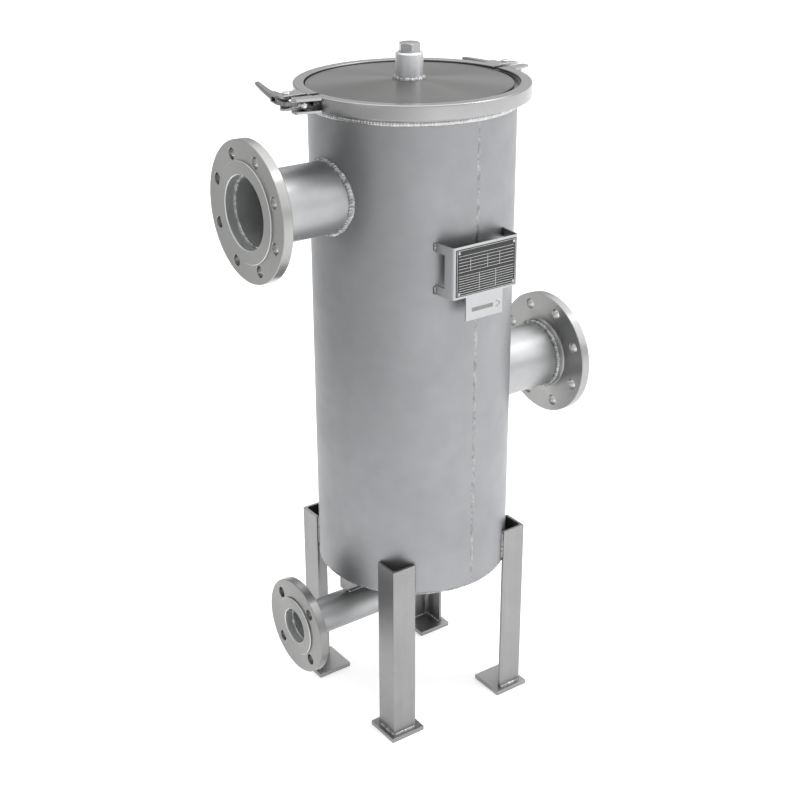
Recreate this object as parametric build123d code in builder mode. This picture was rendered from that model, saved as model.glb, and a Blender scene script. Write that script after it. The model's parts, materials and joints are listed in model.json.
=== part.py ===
from build123d import *
import os
from math import cos, pi, radians, sin, sqrt

# Simplex strainer: an upright stainless vessel on four angle legs, with a flanged inlet
# high on its left side, a flanged outlet lower on its right side and a flanged drain
# below its flat bottom. A lid with a vent plug is held on its collar by a two-part clamp
# ring with two toggle closures. Inside, a perforated basket hangs on a welded seat
# between inlet and outlet. All sizes are in millimetres. Z is up, the origin is on the
# vessel's axis at floor level, the inlet points to -X and the nameplate faces -Y.

os.makedirs("parts", exist_ok=True)

# Clearances
WELD_GAP = 0.3
RUNNING_FIT = 0.05
PLATE_GAP = 0.5
FACE_GAP = 0.3

# Vessel shell and bottom
SHELL_OD = 330.0
SHELL_WALL = 4.0
SHELL_FOOT = 274.0
BOTTOM_THICK = 8.0

# Collar and lid, which meet at the seat height
SEAT_HEIGHT = 1094.0
COLLAR_HEIGHT = 20.0
COLLAR_NECK_WALL = 5.5
COLLAR_RIM = 6.0
RIM_OVERHANG = 12.0
COLLAR_SHOULDER = 2.0
LID_RIM = 8.0
LID_RIM_BAND = 11.0
LID_GROOVE_WIDTH = 11.0
LID_GROOVE_DEPTH = 4.0
LID_STEP = 1.5
LID_DOME_RISE = 6.5
DOME_HALFWAY = 0.75
LID_DOME_WALL = 6.0
LID_SHIFT_X = -4.0
LID_SHIFT_Y = 2.0
SEAL_SECTION = 3.6
SEAL_INSET = 5.5

# Clamp ring
CLAMP_LIP = 4.0
CLAMP_WEB = 4.0
CLAMP_PLAY = 6.0
CLAMP_UPPER_LIP_REACH = 24.0
CLAMP_LOWER_LIP_REACH = 17.0
CLAMP_EDGE_RADIUS = 3.0
CLAMP_SPLIT = 12.0

# Toggle closures, given for the left one and mirrored for the right one. Sizes that end
# in OUT are measured outwards from the clamp ring's outside
LEVER_PIVOT_OUT = 25.0
LEVER_PIVOT_Y = 29.0
LINK_PIVOT_ARM = 17.0
LINK_PIVOT_ANGLE = 96.0
LEVER_PIN_D = 8.0
LINK_PIN_D = 6.0
PIN_HEAD_D = 13.0
PIN_HEAD_HEIGHT = 2.6
PIN_HEAD_EDGE = 1.0
FORK_OUT = 40.0
FORK_FRONT = 14.0
FORK_BACK = 47.0
FORK_BOSS = 10.0
FORK_CORNER = 5.0
EAR_OUT = 37.0
EAR_NOSE = 17.0
EAR_FRONT = 29.0
EAR_BACK = 2.0
EAR_CORNER = 3.0
CHEEK_THICK = 4.0
STUD_D = 8.0
STUD_OUT = 19.0
SLOT_PLAY = 0.6
NUT_D = 14.0
NUT_SKIRT = 4.5
LINK_THICK = 6.0
LINK_WIDTH = 7.0
LINK_BOW_OUT = 35.5
LINK_BOW_FRONT = 14.0
LINK_BOW_BACK = 31.0
LINK_STUD_ROOT = 3.0
LINK_EYE = 6.5
LINK_BEND = 4.2
LEVER_BOSS = 8.0
LEVER_LINK_BOSS = 7.5
LEVER_ROOT_Y = 64.0
LEVER_ROOT_RADIUS = 6.0
LEVER_SLOT_BEHIND = 13.0
HANDLE_LENGTH = 68.0
HANDLE_RISE = 12.0
HANDLE_SWAY = 10.0
HANDLE_ROOT_WIDTH = 13.0
HANDLE_TIP_WIDTH = 9.0
HANDLE_ROOT_THICK = 9.0
HANDLE_TIP_THICK = 6.0
HANDLE_ROUND = 2.4
HANDLE_STATIONS = (0, 0.35, 0.7, 1)
HANDLE_HOLLOW = 2.0
HANDLE_RISE_POWER = 1.5

# Vent on the lid
SOCKET_OD = 44.0
SOCKET_HEIGHT = 40.5
SOCKET_CHAMFER = 2.5
VENT_THREAD_D = 26.4
VENT_THREAD_LENGTH = 16.0
VENT_BORE = 20.0
PLUG_FLATS = 31.0
PLUG_HEAD = 12.0
PLUG_CHAMFER = 1.5
PLUG_TURN = 5.0
VENT_SEAL_THICK = 2.0
VENT_SEAL_OD = 33.0

# Inlet and outlet nozzles, DN100 PN16, and drain, DN50 PN16
NOZZLE_REACH = 145.0
INLET_DROP = 129.0
OUTLET_HEIGHT = 576.0
NOZZLE_PIPE_OD = 114.3
NOZZLE_PIPE_WALL = 3.6
NOZZLE_INSIDE = 15.0
NOZZLE_FLANGE_OD = 220.0
NOZZLE_PCD = 180.0
NOZZLE_BOLTS = 8
NOZZLE_HUB = 131.0
NOZZLE_LENGTH = 52.0
NOZZLE_THICK = 20.0
NOZZLE_RAISED = 158.0
DRAIN_REACH = 85.0
DRAIN_BEND = 76.0
DRAIN_PIPE_OD = 60.3
DRAIN_PIPE_WALL = 2.9
DRAIN_FLANGE_OD = 165.0
DRAIN_PCD = 125.0
DRAIN_BOLTS = 4
DRAIN_HUB = 74.0
DRAIN_LENGTH = 45.0
DRAIN_THICK = 18.0
DRAIN_RAISED = 102.0
BOLT_HOLE_D = 18.0
RAISED_HEIGHT = 3.0
HUB_STRAIGHT = 10.0
HUB_FILLET = 6.0
FLANGE_EDGE = 1.0
GUSSET_THICK = 6.0
GUSSET_SETBACK = 12.0
GUSSET_START = 8.0
GUSSET_CORNER = 12.0

# Legs and feet
LEG_SIZE = 45.0
LEG_THICK = 5.0
LEG_ROOT_RADIUS = 6.0
LEG_OVERLAP = 58.0
FOOT_SIZE = 66.0
FOOT_THICK = 8.0
FOOT_MARGIN = 9.0

# Nameplate bracket
BRACKET_STANDOFF = 27.0
BRACKET_HALF = 62.0
BRACKET_SPLAY = 3.7
BRACKET_SHEET = 2.5
BRACKET_BEND = 4.0
BRACKET_DROP = 202.0
BRACKET_HEIGHT = 83.0
BRACKET_FOOT = 15.0
BRACKET_RECESS = 21.0
TAB_LEFT = -38.0
TAB_RIGHT = 34.0
TAB_HEIGHT = 39.0
PLATE_MARGIN = 4.0
PLATE_THICK = 0.8
RIVET_D = 4.6
RIVET_HEIGHT = 1.2
RIVET_INSET = 5.0

# Basket and its seat
SEAT_RING_DROP = 79.0
SEAT_RING_THICK = 8.0
SEAT_RING_PLAY = 6.0
BASKET_SEAL_THICK = 3.0
BASKET_RIM_PLAY = 11.0
BASKET_RIM_THICK = 5.0
BASKET_RIM_BAND = 25.0
BASKET_WALL = 1.5
BASKET_LIFT = 56.0
BASKET_BOTTOM_THICK = 3.0
HOLE_SIZE = 18.0
HOLE_COLUMNS = 20
HOLE_PITCH = 36.0
HOLE_FIRST = 60.0
HOLE_LAST = 47.0
BOTTOM_HOLE_INSET = 62.0
BOTTOM_HOLE_COUNT = 4
MESH_THICK = 0.6
MESH_GAP = 0.3
BAIL_D = 8.0
BAIL_INSET = 21.0
BAIL_END_INSET = 7.0
BAIL_LIFT = 6.0
EAR_PLATE = 4.0
BAIL_EAR_RADIUS = 8.0
BAIL_EAR_INSET = 13.0

# Sizes that follow from the ones above: vessel, collar, lid and clamp ring
SHELL_R = SHELL_OD / 2
SHELL_BORE = SHELL_R - SHELL_WALL
SHELL_TOP = SEAT_HEIGHT - COLLAR_HEIGHT
RIM_R = SHELL_R + RIM_OVERHANG
SEAL_RADIUS = RIM_R - SEAL_INSET
LID_FACE = SEAT_HEIGHT + LID_RIM
DOME_EDGE = LID_FACE + LID_STEP
DOME_TOP = DOME_EDGE + LID_DOME_RISE
SOCKET_TOP = DOME_TOP + SOCKET_HEIGHT
CLAMP_BORE = RIM_R + CLAMP_PLAY
CLAMP_R = CLAMP_BORE + CLAMP_WEB
UPPER_LIP_UNDERSIDE = SEAT_HEIGHT + LID_RIM + FACE_GAP
CLAMP_TOP = UPPER_LIP_UNDERSIDE + CLAMP_LIP
LOWER_LIP_TOP = SEAT_HEIGHT - COLLAR_RIM - FACE_GAP
CLAMP_FOOT = LOWER_LIP_TOP - CLAMP_LIP
CLOSURE_MID = (CLAMP_TOP + CLAMP_FOOT) / 2

# Toggle closures
LEVER_PIVOT_X = -(CLAMP_R + LEVER_PIVOT_OUT)
FORK_REACH = CLAMP_R + FORK_OUT
EAR_REACH = CLAMP_R + EAR_OUT
STUD_X = -(CLAMP_R + STUD_OUT)
LINK_BOW_X = -(CLAMP_R + LINK_BOW_OUT)
LEVER_THICK = UPPER_LIP_UNDERSIDE - LOWER_LIP_TOP - 2 * PLATE_GAP
LEVER_SLOT = LINK_THICK + 2 * PLATE_GAP
LINK_PIVOT_X = LEVER_PIVOT_X + LINK_PIVOT_ARM * cos(radians(LINK_PIVOT_ANGLE))
LINK_PIVOT_Y = LEVER_PIVOT_Y + LINK_PIVOT_ARM * sin(radians(LINK_PIVOT_ANGLE))
LEG_CORNER = (LEG_SIZE + LEG_THICK) / 2 + sqrt(
    ((SHELL_R + WELD_GAP) ** 2 - ((LEG_SIZE - LEG_THICK) / 2) ** 2 * 2) / 2
)
LEG_TOP = SHELL_FOOT + LEG_OVERLAP

# Nozzles, drain and nameplate bracket
NOZZLE_FACE = SHELL_R + NOZZLE_REACH
INLET_HEIGHT = SHELL_TOP - INLET_DROP
DRAIN_FACE = SHELL_R + DRAIN_REACH
DRAIN_HEIGHT = SHELL_FOOT - DRAIN_BEND
BRACKET_FRONT = SHELL_R + BRACKET_STANDOFF
BRACKET_WIDE = BRACKET_HALF + BRACKET_SPLAY
BRACKET_TOP = SEAT_HEIGHT - BRACKET_DROP
BRACKET_BOTTOM = BRACKET_TOP - BRACKET_HEIGHT
TAB_BOTTOM = BRACKET_BOTTOM - TAB_HEIGHT

# Vent plug, basket and bail handle
PLUG_SEAT = SOCKET_TOP + VENT_SEAL_THICK
SEAT_RING_TOP = INLET_HEIGHT - SEAT_RING_DROP
BASKET_RIM_OD = 2 * (SHELL_BORE - BASKET_RIM_PLAY)
BASKET_OD = BASKET_RIM_OD - 2 * BASKET_RIM_BAND
BASKET_FOOT = SHELL_FOOT + BASKET_LIFT
SEAT_RING_BORE = BASKET_OD + 2 * SEAT_RING_PLAY
BASKET_RIM_FOOT = SEAT_RING_TOP + BASKET_SEAL_THICK
HOLE_ROWS = 1 + int((BASKET_RIM_FOOT - BASKET_FOOT - HOLE_FIRST - HOLE_LAST) / HOLE_PITCH)
BOTTOM_HOLE_PITCH = (BASKET_OD - 2 * BOTTOM_HOLE_INSET) / (BOTTOM_HOLE_COUNT - 1)
BAIL_RADIUS = BASKET_OD / 2 - BAIL_INSET
BAIL_END = BASKET_OD / 2 - BAIL_END_INSET
BAIL_EAR_Y = BASKET_OD / 2 - BAIL_EAR_INSET
BASKET_RIM_TOP = BASKET_RIM_FOOT + BASKET_RIM_THICK
BAIL_HEIGHT = BASKET_RIM_TOP + BAIL_LIFT
LID_CENTRE = Plane((LID_SHIFT_X, LID_SHIFT_Y, 0))


def write(piece, name):
    """Label a finished piece and write it as one STEP file."""
    piece.part.label = name
    export_step(piece.part, f"parts/{name}.step")


def tube(outer_radius, inner_radius, low, high, name, centre=Plane.XY):
    """An upright ring or tube between two heights."""
    with BuildPart() as ring:
        with BuildSketch(centre.offset(low)):
            Circle(outer_radius)
            Circle(inner_radius, mode=Mode.SUBTRACT)
        extrude(amount=high - low)
    write(ring, name)
    return ring


# Shell: rolled sheet with a hole for each nozzle
with BuildPart() as shell:
    with BuildSketch(Plane.XY.offset(SHELL_FOOT)):
        Circle(SHELL_R)
        Circle(SHELL_BORE, mode=Mode.SUBTRACT)
    extrude(amount=SHELL_TOP - SHELL_FOOT)
    for side, height in ((-1, INLET_HEIGHT), (1, OUTLET_HEIGHT)):
        with BuildSketch(Plane((0, 0, height), x_dir=(0, 1, 0), z_dir=(side, 0, 0))):
            Circle(NOZZLE_PIPE_OD / 2 + WELD_GAP)
        extrude(amount=SHELL_OD, mode=Mode.SUBTRACT)
write(shell, "shell")

# Bottom plate: flat disc inside the shell, with the drain hole in its middle
tube(
    SHELL_BORE - WELD_GAP,
    DRAIN_PIPE_OD / 2 - DRAIN_PIPE_WALL,
    SHELL_FOOT,
    SHELL_FOOT + BOTTOM_THICK,
    "bottom_plate",
)

# Collar: turned ring on top of the shell, with a clamp rim and a groove for the lid's seal
with BuildPart() as collar:
    neck = SHELL_BORE + COLLAR_NECK_WALL
    groove_in = SEAL_RADIUS - SEAL_SECTION / 2
    groove_out = SEAL_RADIUS + SEAL_SECTION / 2
    with BuildSketch(Plane.XZ):
        with BuildLine():
            Polyline(
                (SHELL_BORE, SHELL_TOP),
                (neck, SHELL_TOP),
                (neck, SEAT_HEIGHT - COLLAR_RIM - COLLAR_SHOULDER),
                (neck + COLLAR_SHOULDER, SEAT_HEIGHT - COLLAR_RIM),
                (RIM_R, SEAT_HEIGHT - COLLAR_RIM),
                (RIM_R, SEAT_HEIGHT),
                (groove_out, SEAT_HEIGHT),
                (groove_out, SEAT_HEIGHT - SEAL_SECTION),
                (groove_in, SEAT_HEIGHT - SEAL_SECTION),
                (groove_in, SEAT_HEIGHT),
                (SHELL_BORE, SEAT_HEIGHT),
                close=True,
            )
        make_face()
    revolve(axis=Axis.Z)
write(collar, "collar")

# Lid seal: a rubber ring that fills the collar's groove
with BuildPart() as lid_seal:
    with BuildSketch(Plane.XZ):
        with Locations((SEAL_RADIUS, SEAT_HEIGHT - SEAL_SECTION / 2)):
            Circle(SEAL_SECTION / 2)
    revolve(axis=Axis.Z)
write(lid_seal, "lid_seal")

# Lid: clamp rim, a groove round the pressed middle, and a shallow dome
GROOVE_OUT = RIM_R - LID_RIM_BAND
GROOVE_IN = GROOVE_OUT - LID_GROOVE_WIDTH
with BuildPart() as lid:
    groove_floor = LID_FACE - LID_GROOVE_DEPTH
    inner_edge = GROOVE_IN - LID_DOME_WALL
    vent = VENT_BORE / 2
    inner_top = DOME_TOP - LID_DOME_WALL
    inner_low = DOME_EDGE - LID_DOME_WALL
    mid = GROOVE_IN / 2
    bulge = LID_DOME_RISE * DOME_HALFWAY
    with BuildSketch(Plane((LID_SHIFT_X, LID_SHIFT_Y, 0), x_dir=(1, 0, 0), z_dir=(0, -1, 0))):
        with BuildLine():
            Polyline(
                (vent, inner_top),
                (vent, DOME_TOP),
            )
            ThreePointArc((vent, DOME_TOP), (mid, DOME_EDGE + bulge), (GROOVE_IN, DOME_EDGE))
            Polyline(
                (GROOVE_IN, DOME_EDGE),
                (GROOVE_IN, groove_floor),
                (GROOVE_OUT, groove_floor),
                (GROOVE_OUT, LID_FACE),
                (RIM_R, LID_FACE),
                (RIM_R, SEAT_HEIGHT),
                (inner_edge, SEAT_HEIGHT),
                (inner_edge, inner_low),
            )
            ThreePointArc((inner_edge, inner_low), (mid, inner_low + bulge), (vent, inner_top))
        make_face()
    revolve(axis=Axis((LID_SHIFT_X, LID_SHIFT_Y, 0), (0, 0, 1)))
write(lid, "lid")

# Vent socket: half coupling welded over the hole in the lid
with BuildPart() as vent_socket:
    with BuildSketch(LID_CENTRE.offset(DOME_TOP)):
        Circle(SOCKET_OD / 2)
    extrude(amount=SOCKET_TOP - DOME_TOP)
    chamfer(vent_socket.edges().group_by(Axis.Z)[-1], length=SOCKET_CHAMFER)
    with BuildSketch(LID_CENTRE.offset(DOME_TOP)):
        Circle(VENT_THREAD_D / 2 + RUNNING_FIT)
    extrude(amount=SOCKET_TOP - DOME_TOP, mode=Mode.SUBTRACT)
write(vent_socket, "vent_socket")

# Vent seal: flat ring under the plug's head, which rises with the plug
tube(
    VENT_SEAL_OD / 2,
    VENT_THREAD_D / 2 + RUNNING_FIT,
    SOCKET_TOP,
    PLUG_SEAT,
    "vent_seal",
    LID_CENTRE,
)

# Vent plug: hexagon head over the threaded shank
with BuildPart() as vent_plug:
    with BuildSketch(LID_CENTRE.offset(PLUG_SEAT)):
        RegularPolygon(PLUG_FLATS / 2, 6, major_radius=False, rotation=PLUG_TURN)
    extrude(amount=PLUG_HEAD)
    with BuildSketch(Plane((LID_SHIFT_X, LID_SHIFT_Y, PLUG_SEAT), x_dir=(1, 0, 0), z_dir=(0, -1, 0))):
        corner = PLUG_FLATS / 2 / cos(pi / 6)
        with BuildLine():
            Polyline(
                (0, 0),
                (corner, 0),
                (corner, PLUG_HEAD - PLUG_CHAMFER),
                (corner - 2 * PLUG_CHAMFER, PLUG_HEAD),
                (0, PLUG_HEAD),
                close=True,
            )
        make_face()
    revolve(axis=Axis((LID_SHIFT_X, LID_SHIFT_Y, 0), (0, 0, 1)), mode=Mode.INTERSECT)
    with BuildSketch(LID_CENTRE.offset(PLUG_SEAT)):
        Circle(VENT_THREAD_D / 2)
    extrude(amount=-(VENT_THREAD_LENGTH + VENT_SEAL_THICK))
write(vent_plug, "vent_plug")


def clamp_section():
    """Half of the clamp ring's channel, drawn in the XZ plane: web, upper lip and lower lip."""
    with BuildSketch(Plane.XZ) as section:
        with BuildLine():
            Polyline(
                (CLAMP_R, CLAMP_FOOT),
                (CLAMP_R, CLAMP_TOP),
                (CLAMP_R - CLAMP_UPPER_LIP_REACH, CLAMP_TOP),
                (CLAMP_R - CLAMP_UPPER_LIP_REACH, UPPER_LIP_UNDERSIDE),
                (CLAMP_BORE, UPPER_LIP_UNDERSIDE),
                (CLAMP_BORE, LOWER_LIP_TOP),
                (CLAMP_R - CLAMP_LOWER_LIP_REACH, LOWER_LIP_TOP),
                (CLAMP_R - CLAMP_LOWER_LIP_REACH, CLAMP_FOOT),
                close=True,
            )
        make_face()
        # In the sketch's own plane, Y runs upwards
        top_corner = section.vertices().group_by(Axis.X)[-1].sort_by(Axis.Y)[-1]
        fillet(top_corner, radius=CLAMP_EDGE_RADIUS)
        bottom_corner = section.vertices().group_by(Axis.X)[-1].sort_by(Axis.Y)[0]
        fillet(bottom_corner, radius=CLAMP_EDGE_RADIUS / 2)
    return section.sketch


LIP_LEVELS = ((CLAMP_FOOT, CLAMP_LIP), (UPPER_LIP_UNDERSIDE, CLAMP_LIP))
WELDED_R = CLAMP_R + WELD_GAP

# Clamp halves: two channel rings, cut apart at the two closures
for end, name in ((-1, "clamp_front_half"), (1, "clamp_rear_half")):
    with BuildPart() as clamp_half:
        add(clamp_section())
        revolve(axis=Axis.Z)
        with BuildSketch(Plane.XY.offset(CLAMP_FOOT)):
            with Locations((0, -end * (CLAMP_R - CLAMP_SPLIT / 2))):
                Rectangle(4 * CLAMP_R, 2 * CLAMP_R)
        extrude(amount=CLAMP_TOP - CLAMP_FOOT, mode=Mode.SUBTRACT)
    write(clamp_half, name)

# Front ears: an upper and a lower plate welded to each end of the front half
with BuildPart() as front_ears:
    for low, thick in LIP_LEVELS:
        with BuildSketch(Plane.XY.offset(low)) as ear:
            with BuildLine():
                Polyline(
                    (-CLAMP_BORE, -EAR_BACK),
                    (-EAR_REACH, -EAR_BACK),
                    (-EAR_REACH, -EAR_NOSE),
                    (-CLAMP_BORE, -EAR_FRONT),
                    close=True,
                )
            make_face()
            fillet(ear.vertices().group_by(Axis.X)[0], radius=EAR_CORNER)
            mirror(about=Plane.YZ)
            Circle(WELDED_R, mode=Mode.SUBTRACT)
        extrude(amount=thick)
write(front_ears, "front_ears")

# Front cheeks: a bar on each ear's inner side, so that the stud swings out between the two
# bars and its nut bears on both
SLOT_HALF = STUD_D / 2 + SLOT_PLAY
with BuildPart() as front_cheeks:
    for low, high in (
        (LOWER_LIP_TOP, CLOSURE_MID - SLOT_HALF),
        (CLOSURE_MID + SLOT_HALF, UPPER_LIP_UNDERSIDE),
    ):
        with BuildSketch(Plane.XY.offset(low)):
            with Locations((0, -EAR_BACK - CHEEK_THICK / 2)):
                Rectangle(2 * EAR_REACH, CHEEK_THICK)
            Circle(WELDED_R, mode=Mode.SUBTRACT)
        extrude(amount=high - low)
write(front_cheeks, "front_cheeks")

# Rear forks: an upper and a lower plate at each end of the rear half, for the lever pins
with BuildPart() as rear_forks:
    for low, thick in LIP_LEVELS:
        with BuildSketch(Plane.XY.offset(low)):
            with BuildLine():
                Polyline(
                    (-CLAMP_BORE, FORK_FRONT),
                    (-FORK_REACH, FORK_FRONT),
                    (-FORK_REACH, LEVER_PIVOT_Y - FORK_CORNER),
                    (LEVER_PIVOT_X, LEVER_PIVOT_Y + FORK_BOSS),
                    (-CLAMP_BORE, FORK_BACK),
                    close=True,
                )
            make_face()
            with Locations((LEVER_PIVOT_X, LEVER_PIVOT_Y)):
                Circle(FORK_BOSS)
                Circle(LEVER_PIN_D / 2 + RUNNING_FIT, mode=Mode.SUBTRACT)
            mirror(about=Plane.YZ)
            Circle(WELDED_R, mode=Mode.SUBTRACT)
        extrude(amount=thick)
write(rear_forks, "rear_forks")

# Lever: a forked root on the lever pin, and a handle that rises towards its tip
with BuildPart() as lever_left:
    with BuildSketch(Plane.XY.offset(CLOSURE_MID - LEVER_THICK / 2)) as root_outline:
        with Locations((LEVER_PIVOT_X, LEVER_PIVOT_Y)):
            Circle(LEVER_BOSS)
        with Locations((LINK_PIVOT_X, LINK_PIVOT_Y)):
            Circle(LEVER_LINK_BOSS)
        with Locations((LINK_PIVOT_X, LEVER_ROOT_Y)):
            Circle(LEVER_ROOT_RADIUS)
        make_hull()
    extrude(amount=LEVER_THICK)
    with BuildSketch(Plane.XY.offset(CLOSURE_MID - LEVER_SLOT / 2)):
        slot_end = LINK_PIVOT_Y + LEVER_SLOT_BEHIND
        slot_start = LEVER_PIVOT_Y - LEVER_BOSS
        with Locations((LINK_PIVOT_X, (slot_end + slot_start) / 2)):
            Rectangle(4 * LEVER_BOSS, slot_end - slot_start)
    extrude(amount=LEVER_SLOT, mode=Mode.SUBTRACT)
    for share in HANDLE_STATIONS:
        width = HANDLE_ROOT_WIDTH + (HANDLE_TIP_WIDTH - HANDLE_ROOT_WIDTH) * share
        thick = HANDLE_ROOT_THICK + (HANDLE_TIP_THICK - HANDLE_ROOT_THICK) * share
        station = (
            LINK_PIVOT_X + HANDLE_SWAY * share ** 2 - HANDLE_HOLLOW * sin(pi * share),
            LEVER_ROOT_Y - LEVER_ROOT_RADIUS / 2 + HANDLE_LENGTH * share,
            CLOSURE_MID + HANDLE_RISE * share ** HANDLE_RISE_POWER,
        )
        with BuildSketch(Plane(station, x_dir=(1, 0, 0), z_dir=(0, 1, 0))):
            RectangleRounded(width, thick, HANDLE_ROUND)
    loft()
    for pin_x, pin_y, pin_d in (
        (LEVER_PIVOT_X, LEVER_PIVOT_Y, LEVER_PIN_D),
        (LINK_PIVOT_X, LINK_PIVOT_Y, LINK_PIN_D),
    ):
        with BuildSketch(Plane.XY.offset(CLOSURE_MID - LEVER_THICK / 2)):
            with Locations((pin_x, pin_y)):
                Circle(pin_d / 2 + RUNNING_FIT)
        extrude(amount=LEVER_THICK, mode=Mode.SUBTRACT)
write(lever_left, "lever_left")

# Lever pin: through both fork plates, with a flat round head at each end
with BuildPart() as lever_pin_left:
    with BuildSketch(Plane((LEVER_PIVOT_X, LEVER_PIVOT_Y, 0), x_dir=(1, 0, 0), z_dir=(0, -1, 0))):
        with BuildLine():
            Polyline(
                (0, CLAMP_FOOT - PIN_HEAD_HEIGHT),
                (PIN_HEAD_D / 2 - PIN_HEAD_EDGE, CLAMP_FOOT - PIN_HEAD_HEIGHT),
                (PIN_HEAD_D / 2, CLAMP_FOOT - PIN_HEAD_HEIGHT + PIN_HEAD_EDGE),
                (PIN_HEAD_D / 2, CLAMP_FOOT),
                (LEVER_PIN_D / 2, CLAMP_FOOT),
                (LEVER_PIN_D / 2, CLAMP_TOP),
                (PIN_HEAD_D / 2, CLAMP_TOP),
                (PIN_HEAD_D / 2, CLAMP_TOP + PIN_HEAD_HEIGHT - PIN_HEAD_EDGE),
                (PIN_HEAD_D / 2 - PIN_HEAD_EDGE, CLAMP_TOP + PIN_HEAD_HEIGHT),
                (0, CLAMP_TOP + PIN_HEAD_HEIGHT),
                close=True,
            )
        make_face()
    revolve(axis=Axis((LEVER_PIVOT_X, LEVER_PIVOT_Y, 0), (0, 0, 1)))
write(lever_pin_left, "lever_pin_left")

# Link pin: holds the link's eye in the lever's fork
with BuildPart() as link_pin_left:
    with BuildSketch(Plane((LINK_PIVOT_X, LINK_PIVOT_Y, CLOSURE_MID - LEVER_THICK / 2))):
        Circle(LINK_PIN_D / 2)
    extrude(amount=LEVER_THICK)
write(link_pin_left, "link_pin_left")

# Link: flat bar that bows round the lever pin and ends in a threaded stud
with BuildPart() as link_left:
    with BuildSketch(Plane.XY.offset(CLOSURE_MID - LINK_THICK / 2)) as bar:
        with BuildLine() as bow:
            FilletPolyline(
                (LINK_PIVOT_X, LINK_PIVOT_Y),
                (LINK_BOW_X, LINK_BOW_BACK),
                (LINK_BOW_X, LINK_BOW_FRONT),
                (STUD_X, LINK_STUD_ROOT),
                radius=LINK_BEND,
            )
        trace(bow.line, line_width=LINK_WIDTH)
        with Locations((LINK_PIVOT_X, LINK_PIVOT_Y)):
            Circle(LINK_EYE)
            Circle(LINK_PIN_D / 2 + RUNNING_FIT, mode=Mode.SUBTRACT)
    extrude(amount=LINK_THICK)
    with BuildSketch(Plane((STUD_X, LINK_STUD_ROOT, CLOSURE_MID), x_dir=(1, 0, 0), z_dir=(0, -1, 0))):
        Circle(STUD_D / 2)
    extrude(amount=LINK_STUD_ROOT + EAR_BACK + CHEEK_THICK + FACE_GAP + NUT_SKIRT)
write(link_left, "link_left")

# Link nut: domed nut that bears on the front ear's cheek
with BuildPart() as link_nut_left:
    nut_seat = EAR_BACK + CHEEK_THICK + FACE_GAP
    nut_r = NUT_D / 2
    with BuildSketch(Plane((STUD_X, -nut_seat, CLOSURE_MID), x_dir=(1, 0, 0), z_dir=(0, 0, 1))):
        with BuildLine():
            Line((STUD_D / 2 + RUNNING_FIT, 0), (nut_r, 0))
            Line((nut_r, 0), (nut_r, -NUT_SKIRT))
            ThreePointArc(
                (nut_r, -NUT_SKIRT),
                (nut_r * cos(pi / 4), -NUT_SKIRT - nut_r * sin(pi / 4)),
                (0, -NUT_SKIRT - nut_r),
            )
            Polyline(
                (0, -NUT_SKIRT - nut_r),
                (0, -NUT_SKIRT - RUNNING_FIT),
                (STUD_D / 2 + RUNNING_FIT, -NUT_SKIRT - RUNNING_FIT),
                (STUD_D / 2 + RUNNING_FIT, 0),
            )
        make_face()
    revolve(axis=Axis((STUD_X, 0, CLOSURE_MID), (0, 1, 0)))
write(link_nut_left, "link_nut_left")

# The right closure is the mirror image of the left one
LEFT_PIECES = (
    ("lever_right", lever_left),
    ("lever_pin_right", lever_pin_left),
    ("link_pin_right", link_pin_left),
    ("link_right", link_left),
    ("link_nut_right", link_nut_left),
)
for name, left_piece in LEFT_PIECES:
    with BuildPart() as right_piece:
        add(left_piece.part)
        mirror(about=Plane.YZ, mode=Mode.REPLACE)
    write(right_piece, name)


def weld_neck_flange(face, sizes, name):
    """Flange whose raised face lies in the plane face, with its normal pointing outwards.

    sizes: outside diameter, pitch circle, bolt count, hub, length, thickness, raised
    face, pipe diameter and pipe wall.
    """
    outside, pitch, bolts, hub, length, thick, raised, pipe_od, pipe_wall = sizes
    bore = pipe_od / 2 - pipe_wall
    section_plane = Plane(face.origin, x_dir=face.x_dir, z_dir=face.y_dir)
    with BuildPart() as flange:
        with BuildSketch(section_plane) as section:
            with BuildLine():
                Polyline(
                    (bore, 0),
                    (raised / 2, 0),
                    (raised / 2, RAISED_HEIGHT),
                    (outside / 2 - FLANGE_EDGE, RAISED_HEIGHT),
                    (outside / 2, RAISED_HEIGHT + FLANGE_EDGE),
                    (outside / 2, thick - FLANGE_EDGE),
                    (outside / 2 - FLANGE_EDGE, thick),
                    (hub / 2 + HUB_FILLET, thick),
                    (hub / 2, thick + HUB_FILLET),
                    (pipe_od / 2, length - HUB_STRAIGHT),
                    (pipe_od / 2, length),
                    (bore, length),
                    close=True,
                )
            make_face()
        revolve(axis=Axis(face.origin, face.z_dir))
        with BuildSketch(face):
            with PolarLocations(pitch / 2, bolts, start_angle=180 / bolts):
                Circle(BOLT_HOLE_D / 2)
        extrude(amount=-(thick + FLANGE_EDGE), mode=Mode.SUBTRACT)
    write(flange, name)


def nozzle_pipe(face, start, end, pipe_od, pipe_wall, name):
    """Straight pipe along a nozzle's axis, between two depths behind its raised face."""
    with BuildPart() as pipe:
        with BuildSketch(face.offset(-end)):
            Circle(pipe_od / 2)
            Circle(pipe_od / 2 - pipe_wall, mode=Mode.SUBTRACT)
        extrude(amount=end - start)
    write(pipe, name)


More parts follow.
